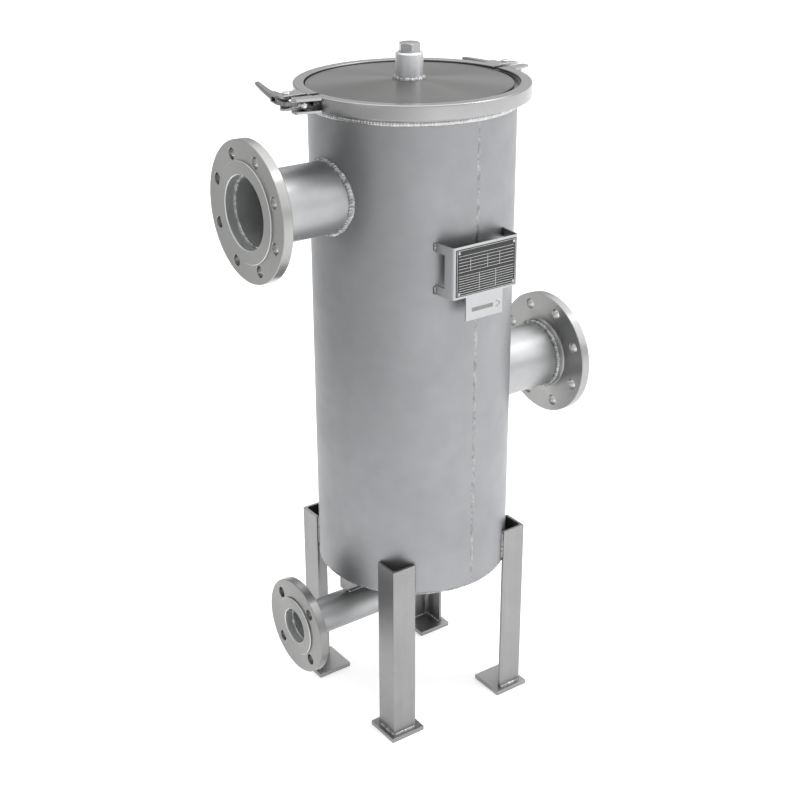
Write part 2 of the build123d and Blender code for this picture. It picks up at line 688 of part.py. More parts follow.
NOZZLE_SIZES = (
    NOZZLE_FLANGE_OD,
    NOZZLE_PCD,
    NOZZLE_BOLTS,
    NOZZLE_HUB,
    NOZZLE_LENGTH,
    NOZZLE_THICK,
    NOZZLE_RAISED,
    NOZZLE_PIPE_OD,
    NOZZLE_PIPE_WALL,
)
DRAIN_SIZES = (
    DRAIN_FLANGE_OD,
    DRAIN_PCD,
    DRAIN_BOLTS,
    DRAIN_HUB,
    DRAIN_LENGTH,
    DRAIN_THICK,
    DRAIN_RAISED,
    DRAIN_PIPE_OD,
    DRAIN_PIPE_WALL,
)
INLET_PLANE = Plane((-NOZZLE_FACE, 0, INLET_HEIGHT), x_dir=(0, 0, 1), z_dir=(-1, 0, 0))
OUTLET_PLANE = Plane((NOZZLE_FACE, 0, OUTLET_HEIGHT), x_dir=(0, 0, 1), z_dir=(1, 0, 0))
DRAIN_PLANE = Plane((-DRAIN_FACE, 0, DRAIN_HEIGHT), x_dir=(0, 0, 1), z_dir=(-1, 0, 0))

# Nozzles: each is a weld-neck flange on a pipe that is set into the shell
for plane, label in ((INLET_PLANE, "inlet"), (OUTLET_PLANE, "outlet")):
    weld_neck_flange(plane, NOZZLE_SIZES, f"{label}_flange")
    nozzle_pipe(
        plane,
        NOZZLE_LENGTH,
        NOZZLE_FACE - SHELL_BORE + NOZZLE_INSIDE,
        NOZZLE_PIPE_OD,
        NOZZLE_PIPE_WALL,
        f"{label}_pipe",
    )

# Drain: elbow under the bottom plate, pipe and flange, stiffened by a gusset
with BuildPart() as drain_elbow:
    with BuildSketch(Plane.XY.offset(SHELL_FOOT)):
        Circle(DRAIN_PIPE_OD / 2)
        Circle(DRAIN_PIPE_OD / 2 - DRAIN_PIPE_WALL, mode=Mode.SUBTRACT)
    revolve(axis=Axis((-DRAIN_BEND, 0, SHELL_FOOT), (0, 1, 0)), revolution_arc=90)
write(drain_elbow, "drain_elbow")
weld_neck_flange(DRAIN_PLANE, DRAIN_SIZES, "drain_flange")
nozzle_pipe(
    DRAIN_PLANE,
    DRAIN_LENGTH,
    DRAIN_FACE - DRAIN_BEND,
    DRAIN_PIPE_OD,
    DRAIN_PIPE_WALL,
    "drain_pipe",
)
with BuildPart() as drain_gusset:
    pipe_top = DRAIN_HEIGHT + DRAIN_PIPE_OD / 2
    outer_x = -(SHELL_R - GUSSET_SETBACK)
    inner_x = -(DRAIN_BEND + GUSSET_START)
    with BuildSketch(Plane((0, GUSSET_THICK / 2, 0), x_dir=(1, 0, 0), z_dir=(0, -1, 0))):
        with BuildLine():
            Polyline(
                (outer_x, SHELL_FOOT),
                (outer_x, pipe_top + GUSSET_CORNER),
                (outer_x + GUSSET_CORNER, pipe_top),
                (inner_x, pipe_top),
                (inner_x, SHELL_FOOT),
                close=True,
            )
        make_face()
    extrude(amount=GUSSET_THICK)
write(drain_gusset, "drain_gusset")

# Legs: equal angles with the corner outwards and both flanges on the shell, each on a foot
SIDES = {"left": -1, "right": 1}
ENDS = {"front": -1, "rear": 1}
for end_name, end in ENDS.items():
    for side_name, side in SIDES.items():
        corner_x = side * LEG_CORNER
        corner_y = end * LEG_CORNER
        with BuildPart() as leg:
            with BuildSketch(Plane.XY.offset(FOOT_THICK)) as angle:
                with BuildLine():
                    Polyline(
                        (corner_x, corner_y),
                        (corner_x - side * LEG_SIZE, corner_y),
                        (corner_x - side * LEG_SIZE, corner_y - end * LEG_THICK),
                        (corner_x - side * LEG_THICK, corner_y - end * LEG_THICK),
                        (corner_x - side * LEG_THICK, corner_y - end * LEG_SIZE),
                        (corner_x, corner_y - end * LEG_SIZE),
                        close=True,
                    )
                make_face()
                inner = angle.vertices().sort_by_distance((corner_x, corner_y))[1]
                fillet(inner, radius=LEG_ROOT_RADIUS)
            extrude(amount=LEG_TOP - FOOT_THICK)
        write(leg, f"leg_{end_name}_{side_name}")
        foot_centre = LEG_CORNER + FOOT_MARGIN - FOOT_SIZE / 2
        with BuildPart() as foot:
            with BuildSketch():
                with Locations((side * foot_centre, end * foot_centre)):
                    Rectangle(FOOT_SIZE, FOOT_SIZE)
            extrude(amount=FOOT_THICK)
        write(foot, f"foot_{end_name}_{side_name}")

# Nameplate bracket: bent sheet with two feet on each side and a tab for the flow arrow
BRACKET_BACK = sqrt(SHELL_R ** 2 - BRACKET_WIDE ** 2)
with BuildPart() as nameplate_bracket:
    with BuildSketch(Plane.XY.offset(BRACKET_BOTTOM)) as bend:
        with BuildLine() as fold:
            FilletPolyline(
                (-BRACKET_WIDE, -BRACKET_BACK),
                (-BRACKET_HALF, -BRACKET_FRONT + BRACKET_SHEET / 2),
                (BRACKET_HALF, -BRACKET_FRONT + BRACKET_SHEET / 2),
                (BRACKET_WIDE, -BRACKET_BACK),
                radius=BRACKET_BEND,
            )
        trace(fold.line, line_width=BRACKET_SHEET)
    extrude(amount=BRACKET_TOP - BRACKET_BOTTOM)
    with BuildSketch(Plane((0, -BRACKET_FRONT, 0), x_dir=(1, 0, 0), z_dir=(0, 1, 0))):
        with Locations(((TAB_LEFT + TAB_RIGHT) / 2, -(TAB_BOTTOM + BRACKET_BOTTOM) / 2)):
            Rectangle(TAB_RIGHT - TAB_LEFT, BRACKET_BOTTOM - TAB_BOTTOM)
    extrude(amount=BRACKET_SHEET)
    with BuildSketch(Plane.XY.offset(BRACKET_BOTTOM)):
        Circle(SHELL_R + WELD_GAP)
    extrude(amount=BRACKET_TOP - BRACKET_BOTTOM, mode=Mode.SUBTRACT)
    with BuildSketch(Plane.XY.offset(BRACKET_BOTTOM + BRACKET_FOOT)):
        with Locations((0, -BRACKET_BACK)):
            Rectangle(3 * BRACKET_WIDE, 2 * BRACKET_RECESS)
    extrude(amount=BRACKET_TOP - BRACKET_BOTTOM - 2 * BRACKET_FOOT, mode=Mode.SUBTRACT)
write(nameplate_bracket, "nameplate_bracket")

# Nameplate and its rivets
PLATE_HALF = BRACKET_HALF - PLATE_MARGIN
PLATE_MID = (BRACKET_TOP + BRACKET_BOTTOM) / 2
PLATE_HEIGHT = BRACKET_TOP - BRACKET_BOTTOM - 2 * PLATE_MARGIN
PLATE_BACK = Plane((0, -BRACKET_FRONT, PLATE_MID), x_dir=(1, 0, 0), z_dir=(0, -1, 0))
with BuildPart() as nameplate:
    with BuildSketch(PLATE_BACK):
        Rectangle(2 * PLATE_HALF, PLATE_HEIGHT)
    extrude(amount=PLATE_THICK)
write(nameplate, "nameplate")
with BuildPart() as nameplate_rivets:
    with BuildSketch(PLATE_BACK.offset(PLATE_THICK)):
        with GridLocations(2 * (PLATE_HALF - RIVET_INSET), PLATE_HEIGHT - 2 * RIVET_INSET, 2, 2):
            Circle(RIVET_D / 2)
    extrude(amount=RIVET_HEIGHT)
    chamfer(nameplate_rivets.edges().group_by(Axis.Y)[0], length=RIVET_HEIGHT / 2)
write(nameplate_rivets, "nameplate_rivets")

# Basket seat: ring welded into the shell between inlet and outlet
seat_foot = SEAT_RING_TOP - SEAT_RING_THICK
tube(SHELL_BORE - WELD_GAP, SEAT_RING_BORE / 2, seat_foot, SEAT_RING_TOP, "basket_seat")

# Basket seal: flat rubber ring between the seat and the basket's rim
tube(BASKET_RIM_OD / 2, SEAT_RING_BORE / 2, SEAT_RING_TOP, BASKET_RIM_FOOT, "basket_seal")

# Basket rim: flat ring with two eared plates for the bail handle
with BuildPart() as basket_rim:
    with BuildSketch(Plane.XY.offset(BASKET_RIM_FOOT)):
        Circle(BASKET_RIM_OD / 2)
        Circle(BASKET_OD / 2 - BASKET_WALL, mode=Mode.SUBTRACT)
    extrude(amount=BASKET_RIM_THICK)
    for end in ENDS.values():
        ear_plane = Plane((0, end * BAIL_EAR_Y, BAIL_HEIGHT), x_dir=(1, 0, 0), z_dir=(0, end, 0))
        with BuildSketch(Plane.XY.offset(BASKET_RIM_FOOT)):
            arm = BASKET_OD / 2 - BAIL_EAR_Y
            with Locations((0, end * (BAIL_EAR_Y + arm / 2))):
                Rectangle(2 * BAIL_EAR_RADIUS, arm + BASKET_WALL)
        extrude(amount=BASKET_RIM_THICK - BASKET_WALL)
        with BuildSketch(ear_plane):
            Circle(BAIL_EAR_RADIUS)
            Circle(BAIL_D / 2 + RUNNING_FIT, mode=Mode.SUBTRACT)
        extrude(amount=EAR_PLATE)
write(basket_rim, "basket_rim")

# Basket: rolled sheet with square holes
with BuildPart() as basket:
    with BuildSketch(Plane.XY.offset(BASKET_FOOT)):
        Circle(BASKET_OD / 2)
        Circle(BASKET_OD / 2 - BASKET_WALL, mode=Mode.SUBTRACT)
    extrude(amount=BASKET_RIM_FOOT - BASKET_FOOT)
    for column in range(HOLE_COLUMNS):
        angle = radians(360 * (column + 0.5) / HOLE_COLUMNS)
        outward = (cos(angle), sin(angle), 0)
        with BuildSketch(Plane((0, 0, BASKET_FOOT), x_dir=(0, 0, 1), z_dir=outward)):
            for row in range(HOLE_ROWS):
                with Locations((HOLE_FIRST + HOLE_PITCH * row, 0)):
                    Rectangle(HOLE_SIZE, HOLE_SIZE)
        extrude(amount=BASKET_OD / 2 + BASKET_WALL, mode=Mode.SUBTRACT)
write(basket, "basket")

# Basket bottom: disc welded inside the basket's lower end, with a grid of square holes
with BuildPart() as basket_bottom:
    with BuildSketch(Plane.XY.offset(BASKET_FOOT)):
        Circle(BASKET_OD / 2 - BASKET_WALL - WELD_GAP)
        with GridLocations(BOTTOM_HOLE_PITCH, BOTTOM_HOLE_PITCH, BOTTOM_HOLE_COUNT, BOTTOM_HOLE_COUNT):
            Rectangle(HOLE_SIZE, HOLE_SIZE, mode=Mode.SUBTRACT)
    extrude(amount=BASKET_BOTTOM_THICK)
write(basket_bottom, "basket_bottom")

# Mesh liner: fine wire cloth inside the basket
MESH_R = BASKET_OD / 2 - BASKET_WALL - MESH_GAP
mesh_foot = BASKET_FOOT + BASKET_BOTTOM_THICK
tube(MESH_R, MESH_R - MESH_THICK, mesh_foot, BASKET_RIM_FOOT - FACE_GAP, "mesh_liner")

# Bail handle: round bar bent into a half ring, with its two ends in the rim's ears
with BuildPart() as bail_handle:
    with BuildSketch(Plane.XZ):
        with Locations((BAIL_RADIUS, BAIL_HEIGHT)):
            Circle(BAIL_D / 2)
    revolve(axis=Axis.Z, revolution_arc=360)
    with BuildSketch(Plane.XY.offset(BAIL_HEIGHT - BAIL_D)):
        with Locations((BAIL_RADIUS, 0)):
            Rectangle(2 * BAIL_RADIUS, 4 * BAIL_RADIUS)
    extrude(amount=2 * BAIL_D, mode=Mode.SUBTRACT)
    for end in ENDS.values():
        stub_start = (0, end * (BAIL_RADIUS - BAIL_D / 2), BAIL_HEIGHT)
        with BuildSketch(Plane(stub_start, x_dir=(1, 0, 0), z_dir=(0, end, 0))):
            Circle(BAIL_D / 2)
        extrude(amount=BAIL_END - BAIL_RADIUS + BAIL_D / 2)
write(bail_handle, "bail_handle")
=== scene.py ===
import json
from collections import namedtuple
from math import cos, pi, radians, sin, sqrt

import bmesh
import bpy
import numpy as np
from bpy.props import FloatProperty, FloatVectorProperty, IntProperty, PointerProperty
from bpy.types import Operator, Panel, PropertyGroup
from mathutils import Matrix, Vector


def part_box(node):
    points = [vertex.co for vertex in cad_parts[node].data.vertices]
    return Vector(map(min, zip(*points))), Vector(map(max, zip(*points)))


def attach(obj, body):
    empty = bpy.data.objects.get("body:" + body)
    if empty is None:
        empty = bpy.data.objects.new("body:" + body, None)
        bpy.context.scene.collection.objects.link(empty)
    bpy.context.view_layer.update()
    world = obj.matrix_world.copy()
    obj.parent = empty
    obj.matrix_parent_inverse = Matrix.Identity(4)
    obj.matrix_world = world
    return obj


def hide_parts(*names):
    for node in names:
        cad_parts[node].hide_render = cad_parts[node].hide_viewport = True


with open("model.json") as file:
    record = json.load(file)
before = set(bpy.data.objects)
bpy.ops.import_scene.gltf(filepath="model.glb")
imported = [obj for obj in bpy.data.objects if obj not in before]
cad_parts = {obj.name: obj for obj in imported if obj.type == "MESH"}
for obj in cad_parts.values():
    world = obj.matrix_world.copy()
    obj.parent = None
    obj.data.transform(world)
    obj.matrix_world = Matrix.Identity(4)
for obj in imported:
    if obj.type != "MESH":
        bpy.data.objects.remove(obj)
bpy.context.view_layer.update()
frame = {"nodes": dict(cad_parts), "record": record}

bl_info = {
    "name": "Simplex strainer looks",
    "version": (1, 0, 0),
    "blender": (4, 5, 0),
    "location": "View3D > Sidebar > Strainer",
    "description": "Weld beads, steel finishes, nameplate and studio for the packed strainer",
    "category": "Object",
}

MM = 0.001
UP = np.array((0.0, 0.0, 1.0))
ALONG = np.array((1.0, 0.0, 0.0))  # the way the nozzles' axes run
ACROSS = np.array((0.0, 1.0, 0.0))
CORNERS = [f"{end}_{side}" for end in ("front", "rear") for side in ("left", "right")]
MERGE = 0.002 * MM  # points nearer to each other become one
SPECK = 0.001 * MM  # edges shorter than this go
SUNK = 0.02 * MM  # how deep raised marks begin inside their plate
SECTION_STEPS = 8  # pieces of a weld bead's curve
FULLNESS = 1.55  # of a fillet: 1 is flat, 2 is a quarter circle
WHITE = (1.0, 1.0, 1.0, 1.0)


def span(node):
    """Lowest and highest corner of a CAD node as two arrays, in metres."""
    low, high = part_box(node)
    return np.array(low), np.array(high)


# side: -1 left, 1 right. height: the axis'. face: the x of its face. Radii: radius (the pipe's), circle
# (of the bolts), raised face, bore, hub. Depths behind the face: thick (the disc's), hub_end, pipe_end.
# wall is the pipe's thickness, leg the weld's.
Nozzle = namedtuple("Nozzle", "side height radius face bolts circle thick raised bore hub hub_end pipe_end wall leg")


def measured(label, bolts, *sizes):
    """A nozzle's facts: the first four from the CAD, then its bolts and its sizes, given in mm."""
    low, high = span(f"{label}_pipe")
    side = 1 if high[0] > 0 else -1
    low_flange, high_flange = span(f"{label}_flange")
    face = low_flange[0] if side < 0 else high_flange[0]
    return Nozzle(side, (low[2] + high[2]) / 2, (high[2] - low[2]) / 2, face, bolts, *(np.array(sizes) * MM))


MAIN_SIZES = (8, 90, 20, 79, 57.3, 60.9, 30.5, 18, 3.6, 3.8)
NOZZLES = {label: measured(label, *MAIN_SIZES) for label in ("inlet", "outlet")}
NOZZLES["drain"] = measured("drain", 4, 62.5, 18, 51, 30.3, 34.2, 27.0, 16, 2.9, 3.2)
BOLT_HOLE = 9 * MM  # radius
SHELL_LOW, SHELL_HIGH = span("shell")
SHELL_R = (SHELL_HIGH[1] - SHELL_LOW[1]) / 2
SHELL_FOOT, SHELL_TOP = SHELL_LOW[2], SHELL_HIGH[2]
BODY_OF = {node: body for body, nodes in frame["record"]["behaviour"]["bodies"].items() for node in nodes}
SLOT_OF = {part["node"]: part["material_slot"] for part in frame["record"]["subparts"]}


# Surfaces as arrays


def unit(arrows):
    """Each vector divided by its own length."""
    return arrows / np.linalg.norm(arrows, axis=-1, keepdims=True)


def lattice(rows, columns, wrap_rows, wrap_columns):
    """Corner numbers of the quads of a grid; a wrapped side joins its last line to its first."""
    index = np.arange(rows * columns).reshape(rows, columns)
    beside = np.roll(index, -1, 1)
    quads = np.stack((index, beside, np.roll(beside, -1, 0), np.roll(index, -1, 0)), -1)
    return quads[:None if wrap_rows else -1, :None if wrap_columns else -1].reshape(-1, 4)


def make_piece(name, grids, material, caps=(), sharp=35.0):
    """One mesh object from point grids and flat caps, closed at its seams, faces outwards.

    grids: (points, wrap rows, wrap columns) each; caps: rings of points, one face each.
    """
    points, faces, start = [], [], 0
    for grid, wrap_rows, wrap_columns in grids:
        rows, columns = grid.shape[:2]
        faces += (lattice(rows, columns, wrap_rows, wrap_columns) + start).tolist()
        points.append(grid.reshape(-1, 3))
        start += rows * columns
    for ring in caps:
        faces.append(list(range(start, start + len(ring))))
        points.append(ring)
        start += len(ring)
    mesh = bpy.data.meshes.new(name)
    mesh.from_pydata(np.concatenate(points), [], faces)
    shape = bmesh.new()
    shape.from_mesh(mesh)
    bmesh.ops.remove_doubles(shape, verts=shape.verts, dist=MERGE)
    bmesh.ops.dissolve_degenerate(shape, edges=shape.edges, dist=SPECK)
    bmesh.ops.recalc_face_normals(shape, faces=shape.faces)
    return finish_piece(name, mesh, shape, sharp, bpy.data.materials[material], "root")


def put(name, data):
    """A new object in the scene."""
    made = bpy.data.objects.new(name, data)
    bpy.context.scene.collection.objects.link(made)
    return made


def finish_piece(name, mesh, shape, sharp, material, body):
    """The edited shape back in its mesh, smooth but for its sharp edges, as a piece with its material."""
    shape.to_mesh(mesh)
    shape.free()
    mesh.polygons.foreach_set("use_smooth", np.ones(len(mesh.polygons), bool))
    mesh.set_sharp_from_angle(angle=radians(sharp))
    mesh.materials.append(material)
    piece = put(name, mesh)
    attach(piece, body)
    return piece


def eased_copy(node, width):
    """A CAD node's shape with its edges eased: doubles merged, flats joined, then bevelled."""
    source = frame["nodes"][node]
    mesh = source.data.copy()
    mesh.materials.clear()
    if "custom_normal" in mesh.attributes:
        mesh.attributes.remove(mesh.attributes["custom_normal"])
    shape = bmesh.new()
    shape.from_mesh(mesh)
    bmesh.ops.remove_doubles(shape, verts=shape.verts, dist=MERGE)
    bmesh.ops.dissolve_limit(shape, angle_limit=radians(0.6), verts=shape.verts, edges=shape.edges)
    material = source.material_slots[0].material
    piece = finish_piece(f"{node}_eased", mesh, shape, 30, material, BODY_OF[node])
    bevel = piece.modifiers.new("eased edges", "BEVEL")
    bevel.width, bevel.segments, bevel.harden_normals = width, 2, True
    bevel.limit_method, bevel.angle_limit = "ANGLE", radians(30)
    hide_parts(node)
    return piece


def wander(share, seed, lowest=3, highest=19):
    """A smooth closed random line from -1 to 1: a sum of whole sine waves with seeded phases."""
    random = np.random.default_rng(seed)
    waves = np.arange(lowest, highest + 1)
    phases = random.uniform(0, 2 * pi, len(waves))
    strengths = random.uniform(0.4, 1.0, len(waves))
    line = np.sin(2 * pi * np.outer(share, waves) + phases) @ strengths
    return line / np.abs(line).max()


def fillet_section():
    """Corner weld: x and y are cosine and sine to the power 2 / fullness, then close behind the surfaces.

    The third column says how far a ripple lifts each point: most in the middle of the bead.
    """
    turn = np.linspace(0, pi / 2, SECTION_STEPS + 1)
    x = np.cos(turn) ** (2 / FULLNESS)
    y = np.sin(turn) ** (2 / FULLNESS)
    bead = np.stack((x, y, np.sin(2 * turn)), -1)
    return np.concatenate((bead, [(-0.15, 1, 0), (-0.15, -0.15, 0), (1, -0.15, 0)]))


FILLET = fillet_section()


def flat_section(crown):
    """Butt weld: height is the crown times (1 - x squared) to the power 0.8."""
    x = np.linspace(1, -1, SECTION_STEPS + 1)
    rise = (1 - x ** 2) ** 0.8
    bead = np.stack((x, crown * rise, rise), -1)
    return np.concatenate((bead, [(-1, -0.25, 0), (1, -0.25, 0)]))


def bead_grid(path, across, out, section, leg, ripple, share, closed, seed):
    """A weld bead carried along a path.

    Each point is the path's point plus the section's x times across plus its y times out,
    both times the leg length. The leg length wanders slowly, and the ripples (count, depth)
    add the power 0.7 of the size of a sine whose crests bend back towards the bead's middle
    and differ in height. An open bead shrinks to a point at both ends.
    """
    lift = section[:, 2]
    count, depth = ripple
    phase = count * share[:, None] + 0.35 * lift[None, :]
    uneven = 1 + 0.7 * wander(share, seed + 100, 11, max(12, count // 3))[:, None]
    crest = (np.abs(np.sin(pi * phase)) ** 0.7 - 0.6) * uneven
    size = leg * (1 + 0.14 * wander(share, seed))[:, None] + depth * lift[None, :] * crest
    if not closed:
        size = size * np.sqrt(np.clip(1 - np.abs(2 * share - 1) ** 10, 0, 1))[:, None]
    x = (size * section[:, 0])[..., None]
    y = (size * section[:, 1])[..., None]
    return (path[:, None, :] + x * across[:, None, :] + y * out[:, None, :], closed, True)


def ring_bead(centre, axis, radius, radial, axial, section, leg, ripple, seed):
    """Bead round a circle, with ripples of (pitch, depth).

    Across is radial's first number times the radius direction plus its second times the
    axis, and out is the same of axial.
    """
    pitch, depth = ripple
    count = max(12, round(2 * pi * radius / pitch))
    share = np.arange(count * 6) / (count * 6)
    turn = 2 * pi * share[:, None]
    side = np.roll(axis, 1)
    other = np.cross(axis, side)
    direction = np.cos(turn) * side + np.sin(turn) * other
    path = centre + radius * direction
    spine = np.broadcast_to(axis, path.shape)
    across = radial[0] * direction + radial[1] * spine
    out = axial[0] * direction + axial[1] * spine
    return bead_grid(path, across, out, section, leg, (count, depth), share, True, seed)


def line_bead(start, stop, across, out, section, leg, ripple, seed):
    """Straight bead between two points, with its ends drawn in and ripples of (pitch, depth)."""
    start, stop, across, out = (np.array(given, float) for given in (start, stop, across, out))
    pitch, depth = ripple
    count = max(3, round(np.linalg.norm(stop - start) / pitch))
    share = np.linspace(0, 1, count * 6 + 1)
    path = start + share[:, None] * (stop - start)
    across, out = (np.broadcast_to(unit(way), path.shape) for way in (across, out))
    return bead_grid(path, across, out, section, leg, (count, depth), share, False, seed)


def saddle_bead(nozzle, leg, ripple, seed):
    """Fillet where a level pipe enters the shell.

    The path is y = a cos t, z = height + a sin t, x = side times the root of R squared minus
    y squared. Across lies in the shell's surface, away from the pipe; out runs along the pipe.
    """
    side, height, radius = nozzle[:3]
    pitch, depth = ripple
    count = round(2 * pi * radius / pitch)
    share = np.arange(count * 8) / (count * 8)
    turn = 2 * pi * share
    y = radius * np.cos(turn)
    x = side * np.sqrt(SHELL_R ** 2 - y ** 2)
    path = np.stack((x, y, height + radius * np.sin(turn)), -1)
    slope = -y / x * -radius * np.sin(turn)
    along = unit(np.stack((slope, -radius * np.sin(turn), radius * np.cos(turn)), -1))
    normal = unit(path * (1, 1, 0))
    across = side * np.cross(along, normal)
    out = np.broadcast_to(side * ALONG, path.shape)
    return bead_grid(path, across, out, FILLET, leg, (count, depth), share, True, seed)


def polar(radius, turn):
    """Flat points at a distance from the axis and an angle round it."""
    return np.stack((radius * np.cos(turn), radius * np.sin(turn)), -1)


def eased(corners):
    """A closed profile with its corners rounded.

    Each corner is (x, y, cut): a quadratic curve of six points, with the corner as its
    control point, joins the two points that lie the cut's length before and after it.
    """
    corners = np.array(corners, float) * MM
    point, cut = corners[:, :2], corners[:, 2:]
    before = (point + cut * unit(np.roll(point, 1, 0) - point))[:, None]
    after = (point + cut * unit(np.roll(point, -1, 0) - point))[:, None]
    share = np.linspace(0, 1, 6)[None, :, None]
    curve = (1 - share) ** 2 * before + 2 * share * (1 - share) * point[:, None] + share ** 2 * after
    return curve.reshape(-1, 2)


def placer(origin, way, u, v):
    """Places points: the origin plus their depth times way, plus their flat numbers times u and v."""
    return lambda depth, flat: origin + np.asarray(depth)[..., None] * way + flat[..., :1] * u + flat[..., 1:] * v


def nozzle_place(nozzle):
    """Places points of a level nozzle: a depth behind its face, and (u, v) from its axis."""
    return placer((nozzle.face, 0, nozzle.height), -nozzle.side * ALONG, ACROSS, UP)


def upright_place(centre):
    """Places points round an upright axis: a height, and (u, v) from the axis."""
    return placer((centre[0], centre[1], 0), UP, ALONG, ACROSS)


def spun(profile, place, closed=True, columns=160):
    """A profile of (depth or height, radius) carried round the axis."""
    turn = 2 * pi * np.arange(columns) / columns
    return (place(profile[:, :1], polar(profile[:, 1:], turn[None, :])), closed, True)


def sector_arc(middle):
    """Angles across an eighth of a turn, from one side of the sector to the other."""
    return middle + np.linspace(-pi / 8, pi / 8, 21)


def drilled_sector(place, middle, inner, outer, depths, circle):
    """An eighth of a flange round one bolt hole.

    The columns run round the sector's outline and, in the same directions from the hole's
    centre, round the hole. The rows go from the front outline over the chamfered hole to
    the back outline.
    """
    arc = sector_arc(middle)
    centre = polar(circle, middle)
    sides = []
    for depth, radius, chamfer in zip(depths, inner, (0.8 * MM, -0.8 * MM)):
        down = np.linspace(outer, radius, 7)[1:-1]
        distance = np.concatenate((np.full_like(arc, outer), down, np.full_like(arc, radius), down[::-1]))
        turn = np.concatenate((arc, np.full_like(down, arc[-1]), arc[::-1], np.full_like(down, arc[0])))
        outline = polar(distance, turn)
        way = unit(outline - centre)
        mouth, wall = centre + (BOLT_HOLE + abs(chamfer)) * way, centre + BOLT_HOLE * way
        sides.append([place(depth, outline), place(depth, mouth), place(depth + chamfer, wall)])
    front, back = sides
    return (np.stack(front + back[::-1]), False, True)


def drilled_flange(place, rim, nozzle):
    """A slip-on flange: turned face, bore and hub, one sector per bolt, turned rim."""
    bolts, circle, thick, raised, bore, hub, hub_end = nozzle[4:11]
    lift, edge, root = 3 * MM, 0.9 * MM, hub + 5 * MM
    # Depth behind the face and radius: raised face, bore, hub, the hub's rounded foot
    inside = np.array((
        (lift, raised), (0.9 * MM, raised), (0, raised - 0.9 * MM), (0, bore + 1.2 * MM), (1.2 * MM, bore),
        (hub_end, bore), (hub_end, hub - 0.8 * MM), (hub_end - 0.8 * MM, hub), (thick + 4.5 * MM, hub),
        (thick + 2.2 * MM, hub + 0.7 * MM), (thick + 0.7 * MM, hub + 2.2 * MM), (thick, root),
    ))
    outside = np.array(((lift, rim - edge), (lift + edge, rim), (thick - edge, rim), (thick, rim - edge)))
    grids = [spun(inside, place, False), spun(outside, place, False)]
    pitch = 2 * pi / bolts
    for bolt in range(bolts):
        middle = (bolt + 0.5) * pitch
        grids.append(drilled_sector(place, middle, (raised, root), rim - edge, (lift, thick), circle))
        if bolts == 4:
            for depth, inner in ((lift, raised), (thick, root)):
                radius = np.linspace(rim - edge, inner, 7)[:, None]
                arc = sector_arc(middle + pitch / 2)[None, :]
                grids.append((place(depth, polar(radius, arc)), False, False))
    return grids


def bar(corners, face, relief):
    """A flat bar on an upright face, standing out towards -Y; corners are its (x, z)."""
    back = np.column_stack((corners[:, 0], np.full(len(corners), face + SUNK), corners[:, 1]))
    front = back - (0, relief + SUNK, 0)
    middle, behind = (np.broadcast_to(side.mean(0), side.shape) for side in (front, back))
    return (np.stack((behind, back, front, middle)), False, True)


def oblong(left, right, low, high):
    """The four corners of an upright oblong."""
    return np.array([(left, low), (right, low), (right, high), (left, high)])


# Material nodes


def feed(tree, inputs, values):
    """Inputs linked to sockets, or given values."""
    for key, value in values.items():
        if isinstance(value, bpy.types.NodeSocket):
            tree.links.new(value, inputs[key])
        else:
            inputs[key].default_value = value


def add_node(tree, kind, values=None, **settings):
    """A new shader node with its settings and inputs."""
    made = tree.nodes.new(f"ShaderNode{kind}")
    for key, value in settings.items():
        setattr(made, key, value)
    feed(tree, made.inputs, values or {})
    return made


def maths(tree, operation, first, second):
    """The result of an operation on two numbers."""
    return add_node(tree, "Math", {0: first, 1: second}, operation=operation).outputs[0]


def vectors(tree, operation, first, second=(0.0, 0.0, 0.0)):
    """The result of an operation on vectors: a number for a length or a dot product."""
    made = add_node(tree, "VectorMath", {0: first, 1: second}, operation=operation)
    return made.outputs["Value" if operation in ("LENGTH", "DOT_PRODUCT") else "Vector"]


def ranged(tree, value, given=(0.0, 1.0), wanted=(0.0, 1.0), curve="LINEAR"):
    """A number carried from the given range to the wanted one, and held inside it."""
    inputs = {"Value": value, "From Min": given[0], "From Max": given[1], "To Min": wanted[0], "To Max": wanted[1]}
    return add_node(tree, "MapRange", inputs, interpolation_type=curve).outputs[0]


def mixed(tree, share, first, second, kind="FLOAT"):
    """A number, or with RGBA a colour, between two of them, by a share."""
    start, result = (2, 0) if kind == "FLOAT" else (6, 2)
    return add_node(tree, "Mix", {0: share, start: first, start + 1: second}, data_type=kind).outputs[result]


def noise(tree, place, scale, detail):
    """Noise at a place, from 0 to 1."""
    inputs = {"Vector": place, "Scale": scale, "Detail": detail}
    return add_node(tree, "TexNoise", inputs).outputs["Fac"]


def new_group(name, inputs, outputs):
    """An empty shader group with named sockets; returns the tree, its inputs and its outputs."""
    tree = bpy.data.node_groups.new(name, "ShaderNodeTree")
    for label, kind, value in inputs:
        socket = tree.interface.new_socket(label, in_out="INPUT", socket_type=f"NodeSocket{kind}")
        if value is not None:
            socket.default_value = value
    for label, kind in outputs:
        tree.interface.new_socket(label, in_out="OUTPUT", socket_type=f"NodeSocket{kind}")
    entry = tree.nodes.new("NodeGroupInput")
    leave = tree.nodes.new("NodeGroupOutput")
    return tree, entry.outputs, leave.inputs


def clouds_group():
    """Soft cloudy marks as a mask: two sizes of noise added and stretched to the given contrast."""
    inputs = (("Vector", "Vector", None), ("Scale", "Float", 8.0), ("Contrast", "Float", 0.25))
    tree, given, leave = new_group("cloudy marks", inputs, (("Mask", "Float"),))
    wide = noise(tree, given["Vector"], given["Scale"], 3.0)
    fine = noise(tree, given["Vector"], maths(tree, "MULTIPLY", given["Scale"], 5.3), 4.0)
    limits = [maths(tree, way, 0.5, given["Contrast"]) for way in ("SUBTRACT", "ADD")]
    tree.links.new(ranged(tree, mixed(tree, 0.35, wide, fine), limits), leave["Mask"])


